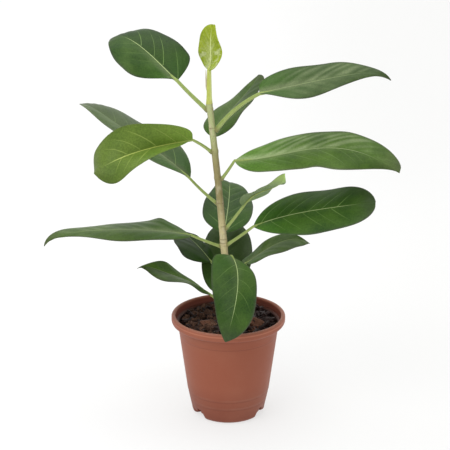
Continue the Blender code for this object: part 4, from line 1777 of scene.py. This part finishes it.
@dataclass
class PottingMix:
    """The crumbly mix in the pot, with bark chips and a few pale bits lying on it.

    Args:
        pot: The pot it fills.
        top, edge_top: Its height in the middle and at the wall.
        depth: How far down it reaches inside the pot.
        lump, lump_size: Height of its lumps, and the distance between them.
        mound: How high it is heaped between the stem and the wall.
        flat: Radius of the flat middle round the stem.
        crumb, crumb_sizes: Height of its crumbs, and the distances between large and small ones.
        small_share: How high the small ones are, as a share of the large ones.
        chip: Length, width and thickness of a chip before its own factors.
        middle: Height of a chip's middle over the mix, as a share of its length.
        clear, edge_room: How far chips stay off the middle, as a share of the area, and off
            the wall, as a share of their length.
        gap: How far the mix stays off the wall.
        rings, steps: Rings of its surface, and steps of its full turn.
    """

    pot: Pot
    top: float = 142.0
    edge_top: float = 139.5
    depth: float = 16.0
    lump: float = 3.6
    lump_size: float = 17.0
    mound: float = 4.0
    flat: float = 9.0
    crumb: float = 1.9
    crumb_sizes: Pair = (4.2, 1.9)
    small_share: float = 0.6
    chip: Triple = (1.0, 0.5, 0.22)
    middle: float = 0.12
    clear: float = 0.02
    edge_room: float = 0.55
    gap: float = 0.1
    rings: int = 70
    steps: int = 150

    def surface(self, x: float, y: float, fine: bool = True) -> float:
        """Give the height of the mix at a place.

        Args:
            x: The place from left to right.
            y: The place from front to back.
            fine: Whether its crumbs count.

        Returns:
            The height.
        """
        edge = self.pot.inner_radius(self.edge_top)
        outward = max(0.0, (math.hypot(x, y) - self.flat) / (edge - self.flat))
        level = self.top + (self.edge_top - self.top) * outward
        strength = min(1.0, 3.0 * outward, max(0.0, 6.0 * (1.0 - outward)))
        level += self.mound * strength
        level += self.lump * strength * noise.noise(Vector((x, y, 0.0)) / self.lump_size)
        if fine:
            large, small = self.crumb_sizes
            crumb = noise.noise(Vector((x, y, 3.0)) / large)
            crumb += self.small_share * noise.noise(Vector((x, y, 9.0)) / small)
            level += self.crumb * crumb * min(1.0, 0.25 + 3.0 * outward)
        return level

    def build(self) -> Object:
        """Turn the top of the mix and raise its lumps and crumbs.

        Returns:
            The mix.
        """
        edge = self.pot.inner_radius(self.edge_top) - self.gap
        bottom = self.top - self.depth
        profile = [(edge * k / self.rings, self.top) for k in range(self.rings + 1)]
        profile += [(self.pot.inner_radius(bottom) - self.gap, bottom), (0.0, bottom)]
        obj = spin_profile("mix_surface", profile, self.steps)
        points = points_of(obj.data)
        for point in points:
            if point[2] > (self.top - 1.0) * MM:
                point[2] = self.surface(point[0] / MM, point[1] / MM) * MM
        move_points(obj.data, points)
        return obj

    def _chip(self, seed: int) -> Object:
        """Break one rough chip out of a cube, 1 unit long.

        Args:
            seed: Seed of its roughness.

        Returns:
            The chip.
        """
        bpy.ops.mesh.primitive_cube_add(size=1.0)
        chip = bpy.context.object

        def break_up() -> None:
            """Cut the cube up, roughen it and round its edges."""
            bpy.ops.transform.resize(value=self.chip)
            bpy.ops.mesh.subdivide(number_cuts=2)
            bpy.ops.transform.vertex_random(offset=0.10, seed=seed, normal=0.4)
            bpy.ops.mesh.subdivide(number_cuts=1, smoothness=0.6)

        edit(chip, break_up)
        return chip

    def _lay(self, model: Object, spot: Pair, size: float, turn: float,
             shape: Pair, sink: float, tilt: Pair) -> Object:
        """Lay a copy of a chip on the mix.

        Args:
            model: The chip to copy.
            spot: Where it lies, in plan.
            size: Its length.
            turn: Its turn in plan, in degrees.
            shape: Factors of its width and thickness.
            sink: How deep it lies, as a share of its length.
            tilt: How far it tips about its length and across it, in radians.

        Returns:
            The copy, with its own mesh.
        """
        height = self.surface(*spot, False) + size * (self.middle - sink)
        tip = Matrix.Rotation(tilt[0], 4, "X") @ Matrix.Rotation(tilt[1], 4, "Y")
        spin = Matrix.Rotation(math.radians(turn), 4, "Z")
        sizes = Matrix.Scale(size * MM, 4) @ Matrix.Diagonal((1.0, *shape, 1.0))
        mesh = model.data.copy()
        mesh.transform(Matrix.Translation(Vector((*spot, height)) * MM) @ spin @ tip @ sizes)
        copy = bpy.data.objects.new(model.name, mesh)
        bpy.context.scene.collection.objects.link(copy)
        return copy

    def scatter(self, litter: Litter) -> Object:
        """Lay one kind of litter on the mix, by chance and at its set places.

        Args:
            litter: The kind.

        Returns:
            All of its pieces as one object.
        """
        picker = random.Random(litter.name)
        models = [self._chip(seed) for seed in (1, 2, 3)]
        edge = self.pot.inner_radius(self.edge_top)
        copies = []
        while len(copies) < litter.count:
            size = picker.uniform(*litter.sizes)
            radius = math.sqrt(picker.uniform(self.clear, 1.0)) * (edge - size * self.edge_room)
            heading = picker.uniform(0, 2 * math.pi)
            spot = (radius * math.cos(heading), radius * math.sin(heading))
            if not litter.span[0] <= spot[0] <= litter.span[1]:
                continue
            turn = picker.gauss(litter.turn, litter.spread)
            wide = litter.shape[0] * picker.uniform(*litter.widths)
            shape = (wide, litter.shape[1] * picker.uniform(*litter.heights))
            tilt = (picker.gauss(0, litter.tilt), picker.gauss(0, litter.tilt))
            copies.append(self._lay(picker.choice(models), spot, size, turn, shape, litter.sink, tilt))
        for x, y, size, turn in litter.placed:
            copy = self._lay(models[0], (x, y), size, turn, litter.shape, litter.sink, litter.placed_tilt)
            copies.append(copy)
        for model in models:
            bpy.data.objects.remove(model, do_unlink=True)
        return join(copies, litter.name)

    def dress(self, obj: Object, finishes: "Wardrobe") -> None:
        """Dress the mix, lay the litter on it and put it in the frame.

        Args:
            obj: The mix.
            finishes: The finishes.
        """
        cover(obj, finishes.mix, 80.0)
        enter(obj, Slot.MIX, "potting_mix")
        for litter in LITTER:
            piece = self.scatter(litter)
            cover(piece, finishes.litter[litter.skin], 45.0)
            enter(piece, Slot.MIX)


@dataclass
class Sheath:
    """The thin dry bud sheath that stands beside the young leaf's stalk.

    Args:
        height, width: Its height and width.
        lift, start, front: How far over the stem's top it starts, and how far to the left and
            in front of the stem's middle.
        lean, waver: How far its tip leans to the left, and how far it wavers.
        flatness: How much thinner it is from front to back.
        steps: Steps from foot to tip.
    """

    height: float = 30.0
    lift: float = 18.0
    start: float = 3.1
    front: float = 0.8
    lean: float = 1.6
    waver: float = 0.3
    width: float = 3.4
    flatness: float = 0.55
    steps: int = 24

    def build(self, stem: Stem) -> Object:
        """Roll a narrow strip to a point.

        Args:
            stem: The stem it stands beside.

        Returns:
            The sheath.
        """
        foot = Vector((stem.centre(stem.top).x - self.start, -self.front, stem.top + self.lift))
        route = []
        radii = []
        for step in range(self.steps + 1):
            share = step / self.steps
            lean = self.lean * share ** 0.6
            waver = self.waver * math.sin(9 * share)
            route.append(foot + Vector((-lean, waver, self.height * share)))
            radii.append(self.width / 2 * min(1.0, 0.2 + 4 * share) * (1 - share) ** 0.6 + 0.22)

        def curl(turn: float, share: float) -> float:
            """Flatten the strip from front to back."""
            return 1.0 - self.flatness * abs(math.sin(turn))

        return Tube("dry_sheath", route, radii, Vector((1, 0, 0)), 10, curl).build()

    def dress(self, obj: Object, skin: Material) -> None:
        """Dress the sheath and put it in the frame."""
        cover(obj, skin, 60.0)
        enter(obj, Slot.YOUNG)


class Wardrobe:
    """All of the finishes, each made once."""

    def __init__(self, nodes: tuple[float, ...]) -> None:
        """Make the finishes.

        Args:
            nodes: Heights of the leaves.
        """
        self.plastic = PlasticFinish().build()
        self.mix = MixFinish().build()
        chips = (
            ChipFinish("dark", (0.008, 0.004, 0.004), (0.060, 0.030, 0.026), 0.5, 1.3),
            ChipFinish("clump", (0.024, 0.013, 0.010), (0.200, 0.108, 0.072), 0.85),
            ChipFinish("tan", (0.085, 0.038, 0.025), (0.24, 0.112, 0.070), 0.75),
            ChipFinish("pale", (0.26, 0.21, 0.15), (0.52, 0.46, 0.37), 0.8),
        )
        self.litter = {chip.name: chip.build() for chip in chips}
        self.bark = BarkFinish(nodes).build()
        self.dry = DryFinish().build()
        dark = LeafFinish("dark_leaf")
        deep = replace(dark, name="deep_leaf", dark=(0.018, 0.052, 0.008), light=(0.044, 0.098, 0.012),
                       fresh=(0.045, 0.120, 0.014), edge=(0.048, 0.054, 0.038), margin=(0.07, 0.09, 0.05),
                       vein=(0.18, 0.29, 0.080), rib=(0.42, 0.52, 0.23), rib_width=0.42)
        bright = replace(dark, name="bright_leaf", dark=(0.078, 0.135, 0.018), light=(0.124, 0.190, 0.030),
                         fresh=(0.100, 0.165, 0.022), edge=(0.095, 0.135, 0.03), margin=(0.13, 0.19, 0.04),
                         vein=(0.34, 0.42, 0.10), rib=(0.48, 0.56, 0.15), vein_share=0.9, rib_width=0.95)
        young = replace(dark, name="young_leaf", dark=(0.17, 0.245, 0.008), light=(0.31, 0.39, 0.018),
                        edge=(0.25, 0.29, 0.006), margin=(0.36, 0.44, 0.06), sheen=(0.60, 0.65, 0.36),
                        fresh=(0.30, 0.40, 0.02), vein=(0.50, 0.58, 0.16), rib=(0.64, 0.71, 0.32),
                        back=(0.34, 0.45, 0.07), spacing=7.5, rough=0.3, vein_share=0.6, patches=0.55)
        grey = replace(dark, name="grey_leaf", dark=(0.050, 0.082, 0.026), light=(0.082, 0.120, 0.046),
                       fresh=(0.030, 0.095, 0.012), edge=(0.105, 0.125, 0.072))
        dusk = replace(grey, name="dusk_leaf", dark=(0.034, 0.066, 0.013), light=(0.054, 0.100, 0.022),
                       fresh=(0.050, 0.130, 0.014), edge=(0.042, 0.050, 0.026), sheen=(0.20, 0.25, 0.12))
        stalk = StalkFinish("stalk_finish").build()
        fresh = StalkFinish("young_stalk_finish", (0.44, 0.50, 0.08), (0.64, 0.70, 0.26),
                            (0.48, 0.48, 0.12)).build()
        green = {"dark": dark, "deep": deep, "bright": bright, "grey": grey, "dusk": dusk}
        self._leaves = {kind: (skin.face(), skin.underside(), stalk) for kind, skin in green.items()}
        self._leaves["young"] = (young.face(), young.underside(), fresh)

    def leaf(self, kind: str) -> tuple[Material, Material, Material]:
        """Give the face, underside and stalk finishes of a kind of leaf."""
        return self._leaves[kind]


@dataclass(frozen=True)
class Lamp:
    """One soft square lamp of the studio.

    Args:
        name: Its name.
        spot: Where it hangs.
        aim: What it points at.
        size: Side of its face.
        power: Watts.
        tint: Colour of its light.
    """

    name: str
    spot: Triple
    aim: Triple
    size: float
    power: float
    tint: Colour = (1.0, 1.0, 1.0)

    def build(self) -> None:
        """Hang the lamp."""
        bpy.ops.object.light_add(type="AREA", location=self.spot)
        lamp = bpy.context.object
        lamp.name = self.name
        lamp.data.shape = "SQUARE"
        lamp.data.size = self.size
        lamp.data.energy = self.power
        lamp.data.color = self.tint
        aim = Vector(self.aim) - Vector(self.spot)
        lamp.rotation_euler = aim.to_track_quat("-Z", "Y").to_euler()


@dataclass
class Studio:
    """The white paper floor, the soft lights and the camera, all in metres.

    Args:
        eye, look_down: Where the camera stands, and how far it looks down, in degrees.
        focal_pixels, frame_pixels: Its focal length and the photograph's width, in pixels.
        sensor: Width of the camera's sensor, in millimetres.
        world: Strength of the white surroundings.
        paper_width, paper_rows: Width of the paper, and rows of its grid.
        paper_front: Where the paper starts, in front of the pot.
        wall_at, wall_height, bend: Where it stands upright behind the pot, how high it goes on
            from there, and the radius of its bend.
        lamps: The lamps.
    """

    eye: Triple = (-0.005, -1.613, 0.806)
    look_down: float = 17.6
    focal_pixels: float = 1160.0
    frame_pixels: float = 450.0
    sensor: float = 36.0
    world: float = 0.75
    paper_width: float = 26.0
    paper_front: float = -14.0
    wall_at: float = 2.6
    wall_height: float = 3.2
    bend: float = 0.9
    paper_rows: int = 240
    lamps: Sequence[Lamp] = (
        Lamp("key", (-1.0, -1.3, 2.4), (0.0, 0.0, 0.3), 1.6, 26.0, (1.0, 0.99, 0.97)),
        Lamp("overhead", (0.3, 0.2, 2.6), (0.0, 0.1, 0.2), 2.0, 12.0),
        Lamp("backdrop", (0.0, 1.0, 2.9), (0.0, 2.2, 0.2), 2.4, 26.0),
    )

    def _paper_route(self, length: float) -> Pair:
        """Give the paper's place behind the front edge and its height, by length.

        Args:
            length: Length of paper from its front edge.

        Returns:
            The place and the height.
        """
        flat = self.wall_at - self.bend - self.paper_front
        turn = (length - flat) / self.bend
        if turn <= 0:
            return self.paper_front + length, 0.0
        if turn < math.pi / 2:
            return self.wall_at - self.bend * (1 - math.sin(turn)), self.bend * (1 - math.cos(turn))
        return self.wall_at, self.bend + (turn - math.pi / 2) * self.bend

    def paper(self) -> None:
        """Lay a paper sweep that curves up behind the plant."""
        bpy.ops.mesh.primitive_grid_add(x_subdivisions=4, y_subdivisions=self.paper_rows, size=1.0)
        sheet = bpy.context.object
        sheet.name = "studio_paper"
        whole = self.wall_at - self.paper_front + self.wall_height
        placed = []
        for x, y, _ in points_of(sheet.data):
            behind, height = self._paper_route((y + 0.5) * whole)
            placed.append((x * self.paper_width, behind, height))
        move_points(sheet.data, np.array(placed))
        cover(sheet, FloorFinish().build(), 60.0)

    def lights(self) -> None:
        """Set the white surroundings and the lamps."""
        world = bpy.data.worlds.new("studio_white")
        world.use_nodes = True
        background = world.node_tree.nodes["Background"]
        background.inputs["Color"].default_value = (1.0, 1.0, 1.0, 1.0)
        background.inputs["Strength"].default_value = self.world
        bpy.context.scene.world = world
        for lamp in self.lamps:
            lamp.build()

    def camera(self) -> None:
        """Stand the camera where the photograph was taken."""
        tilt = (math.radians(90.0 - self.look_down), 0.0, 0.0)
        bpy.ops.object.camera_add(location=self.eye, rotation=tilt)
        camera = bpy.context.object
        camera.name = "camera"
        camera.data.sensor_fit = "HORIZONTAL"
        camera.data.sensor_width = self.sensor
        camera.data.lens = self.sensor * self.focal_pixels / self.frame_pixels
        bpy.context.scene.camera = camera
        bpy.context.scene.view_settings.view_transform = "Standard"

    def build(self) -> None:
        """Set the stage."""
        self.paper()
        self.lights()
        self.camera()


# Each leaf's lift and sheen are painted light, shade and sheen, set for how the light falls on it.
LEAVES = (
    Leaf("leaf_tip_young", node=474, stalk=48, stalk_heading=90, stalk_pitch=(90, 90), length=67,
         width=(36, 64), heading=(20, 59, 58), pitch=(75, 90, 73), roll=(0, -1, -2), fold=(21, 19, 22),
         hook=-79, widest=(0.4, 0.12), base_taper=(0.39, 0.32), tip_taper=(0.99, 3), tail=0.26,
         lift=(0.93, 0.92, 1.0), sheen=(0.46, 0.42), stalk_radius=4.2, rib_radius=3.1, vein_slant=1.5,
         vein_spacing=7.5, finish="young", slot=Slot.YOUNG),
    Leaf("leaf_upper_left", node=466, stalk=58, stalk_heading=155, stalk_pitch=(36, 42), length=130,
         width=(92, 106), heading=(151, 150, 150), pitch=(36, 33, 7), roll=(-22, -27, -6),
         fold=(-9, -7, -11), hook=-49, widest=(0.48, 0.22), base_taper=(1.69, 1.02),
         tip_taper=(0.52, 0.25), tail=0.01, lift=(0.96, 0.74, 1.0), sheen=(0.42, 0.0),
         marks=(1.0, 0.5, 1.9), stalk_radius=3.2, rib_radius=2.5, finish="deep"),
    Leaf("leaf_top_right", node=438, stalk=80, stalk_heading=-8, stalk_pitch=(54, 28), length=188,
         width=(73, 65), heading=(-6, -8, -10), pitch=(15, 13, 12), roll=(18, 30, 7), fold=(26, -2, 1),
         hook=-61, twist=55, widest=(0.52, 0.3), base_taper=(0.27, 0.83), tip_taper=(2.43, 3),
         tail=0.16, lift=(0.86, 0.84, 1.1), sheen=(0.70, 0.56), marks=(0.35, 0.3, 0.3),
         stalk_radius=3.3, rib_radius=2.5, vein_slant=1.45, finish="dusk"),
    Leaf("leaf_upper_back", node=404, stalk=25, stalk_heading=95, stalk_pitch=(30, 45), length=147,
         width=(68, 60), heading=(57, 58, 57), pitch=(46, 23, 42), roll=(-7, -15, -13), fold=(7, 2, 4),
         hook=-4, widest=(0.28, 0.21), base_taper=(0.71, 0.65), tip_taper=(2.51, 0.43), tail=0.26,
         lift=(0.82, 0.68, 1.0), sheen=(0.42, 0.5), marks=(0.3, 0.4, 0.4)),
    Leaf("leaf_left_front", node=406, stalk=33, stalk_heading=205, stalk_pitch=(41, 29), length=150,
         width=(70, 81), heading=(199, 198, 203), pitch=(-5, -12, -30), roll=(-70, -46, -23),
         fold=(49, 37, -38), hook=-3, widest=(0.76, 0.85), base_taper=(1.24, 0.31),
         tip_taper=(0.45, 1.17), lift=(0.92, 0.90, 2.1), sheen=(0.05, 0.0), marks=(1.2, 1.5, 1.7),
         finish="bright", slot=Slot.BRIGHT),
    Leaf("leaf_mid_right", node=366, stalk=32, stalk_heading=-12, stalk_pitch=(54, 59), length=245,
         width=(88, 85), heading=(-12, -18, -12), pitch=(3, 9, -59), roll=(39, 23, 38),
         fold=(-7, -4, -11), hook=29, widest=(0.34, 0.61), base_taper=(0.98, 0.65),
         tip_taper=(0.36, 1.93),
         bumps=((-1, 0.64, 3.5, 0.09), (-1, 0.15, -2.0, 0.07), (1, 0.53, 3.8, 0.07), (1, 0.2, 2.0, 0.08)),
         lift=(1.14, 0.97, 1.5), sheen=(0.76, 0.28), marks=(0.7, 0.5, 1.8), vein_slant=1.45),
    Leaf("leaf_left_back", node=327, stalk=54, stalk_heading=150, stalk_pitch=(29, 40), length=215,
         width=(60, 112), heading=(150, 150, 149), pitch=(36, 25, 39), roll=(-13, 2, 11),
         fold=(6, 2, -1), hook=-40, widest=(0.32, 0.49), base_taper=(1.75, 0.89), tip_taper=(0.4, 0.12),
         lift=(1.25, 0.95, 1.0), sheen=(0.2, 0.1), marks=(0.3, 1.0, 1.3), finish="grey"),
    Leaf("leaf_small_right", node=292, stalk=44, stalk_heading=-20, stalk_pitch=(53, 55), length=113,
         width=(72, 46), heading=(-41, -52, -60), pitch=(61, 23, 50), roll=(-16, 2, -11),
         fold=(4, 5, 5), hook=34, widest=(0.2, 0.59), base_taper=(3.19, 0.43), tip_taper=(1.57, 0.58),
         tail=0.01, lift=(2.5, 1.8, 0.9), sheen=(0.6, 0.4), marks=(0.5, 0.4, 0.4)),
    Leaf("leaf_centre_back", node=272, stalk=15, stalk_heading=88, stalk_pitch=(11, 16), length=170,
         width=(76, 77), heading=(82, 87, 90), pitch=(24, 14, 15), roll=(0, 5, 18), fold=(8, 3, 5),
         hook=-54, widest=(0.33, 0.33), base_taper=(0.69, 0.46), tip_taper=(3, 2.21), tail=0.45,
         lift=(0.88, 0.95, 1.0), sheen=(0.25, 0.1), marks=(0.9, 1.6, 1.6), finish="deep"),
    Leaf("leaf_right_long", node=266, stalk=49, stalk_heading=-20, stalk_pitch=(37, 41), length=185,
         width=(92, 81), heading=(-20, -18, -9), pitch=(28, 15, 11), roll=(42, 31, 38), fold=(9, -8, 8),
         hook=4, widest=(0.42, 0.59), base_taper=(0.95, 0.88), tip_taper=(0.56, 0.4), tail=0.12,
         lift=(1.05, 1.1, 1.45), sheen=(0.0, 0.0), marks=(1.3, 1.7, 1.7), finish="deep"),
    Leaf("leaf_left_long", node=262, stalk=45, stalk_heading=185, stalk_pitch=(21, 26), length=221,
         width=(71, 106), heading=(188, 183, 182), pitch=(14, 0, -2), roll=(-10, -2, 0),
         fold=(6, -10, -8), hook=-55, twist=-45, widest=(0.44, 0.37), base_taper=(0.55, 1.21),
         tip_taper=(2.6, 0.95),
         bumps=((1, 0.205, 4.5, 0.05), (-1, 0.55, 3.0, 0.3), (1, 0.8, 1.5, 0.15)),
         lift=(0.84, 0.93, 1.0), sheen=(0.44, 0.65), marks=(0.5, 0.3, 0.3)),
    Leaf("leaf_front", node=245, stalk=22, stalk_heading=292, stalk_pitch=(34, 20), length=156,
         width=(72, 75), heading=(285, 264, 226), pitch=(0, -37, -76), roll=(-4, 19, -10),
         fold=(13, 12, 5), hook=22, widest=(0.69, 0.34), base_taper=(1.91, 0.25),
         tip_taper=(0.91, 0.78), lift=(0.96, 0.90, 1.0), sheen=(0.22, 0.19), marks=(0.95, 0.9, 0.8),
         finish="deep"),
    Leaf("leaf_low_left_back", node=222, stalk=30, stalk_heading=126, stalk_pitch=(8, 8), length=95,
         width=(83, 27), heading=(122, 122, 122), pitch=(23, 15, 3), roll=(-1, 2, 2), fold=(8, 11, 10),
         hook=5, widest=(0.28, 0.51), base_taper=(0.52, 0.52), tip_taper=(0.82, 0.57), tail=0.08,
         lift=(0.5, 0.55, 1.0), sheen=(0.0, 0.0), marks=(0.6, 0.3, 0.3), finish="deep"),
    Leaf("leaf_low_right", node=216, stalk=27, stalk_heading=20, stalk_pitch=(32, 33), length=113,
         width=(45, 68), heading=(24, 16, 21), pitch=(27, 20, -34), roll=(-13, 5, 34), fold=(7, 5, 17),
         hook=-12, widest=(0.48, 0.46), base_taper=(0.12, 0.12), tip_taper=(2.78, 1.06),
         lift=(0.82, 0.86, 1.0), sheen=(0.47, 0.34), marks=(0.5, 0.3, 0.3)),
    Leaf("leaf_low_back", node=178, stalk=12, stalk_heading=95, stalk_pitch=(10, 20), length=155,
         width=(77, 81), heading=(89, 91, 92), pitch=(31, 28, 18), roll=(-20, 2, -7), fold=(1, 7, 4),
         widest=(0.37, 0.52), base_taper=(0.46, 0.64), tip_taper=(0.67, 0.48), lift=(0.82, 0.82, 1.0),
         sheen=(0.0, 0.0), marks=(0.5, 0.4, 0.4), finish="dusk"),
    Leaf("leaf_low_left", node=172, stalk=21, stalk_heading=190, stalk_pitch=(38, 41), length=124,
         width=(92, 54), heading=(185, 184, 182), pitch=(48, 23, 47), roll=(-10, 2, -42),
         fold=(-7, 9, 4), hook=-94, widest=(0.6, 0.585), base_taper=(1.35, 5), tip_taper=(3, 2.84),
         tail=0.05, lift=(0.79, 1.25, 1.0), sheen=(0.46, 0.28), marks=(0.7, 0.5, 0.5)),
)


LITTER = (
    Litter("dark_bark_chips", "dark", 150, (6.0, 17.0), shape=(0.8, 1.1)),
    Litter("long_bark_chips", "dark", 46, (12.0, 22.0), (18.0, 80.0), (0.55, 1.3), 55.0, 22.0, 0.3, -0.03),
    Litter("brown_clumps", "clump", 104, (3.0, 12.0), (-70.0, -16.0), (1.5, 3.0), tilt=0.6, sink=-0.02),
    Litter("tan_bark_chips", "tan", 7, (4.0, 8.0), shape=(1.7, 1.5), sink=-0.04,
           placed=((41.0, -22.0, 20.0, -35.0), (-30.0, -25.0, 20.0, 20.0), (33.0, -44.0, 9.0, 30.0))),
    Litter("pale_bits", "pale", 5, (2.0, 4.0), shape=(1.2, 1.6), placed=((-21.0, -41.0, 7.0, 20.0),)),
)


def main() -> None:
    """Build and dress the plant in its pot, piece by piece, then set the studio."""
    logging.basicConfig(level=logging.INFO, format="%(name)s %(message)s")
    nodes = tuple(sorted({leaf.node for leaf in LEAVES}))
    finishes = Wardrobe(nodes)
    stem = Stem(nodes=nodes)
    stem.dress(stem.build(), finishes.bark)
    for leaf in LEAVES:
        leaf.dress(leaf.build(stem, finishes))
    sheath = Sheath()
    sheath.dress(sheath.build(stem), finishes.dry)
    pot = Pot()
    pot.dress(pot.build(), finishes.plastic)
    potting = PottingMix(pot)
    potting.dress(potting.build(), finishes)
    Studio().build()


if __name__ == "__main__":
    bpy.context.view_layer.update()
    main()
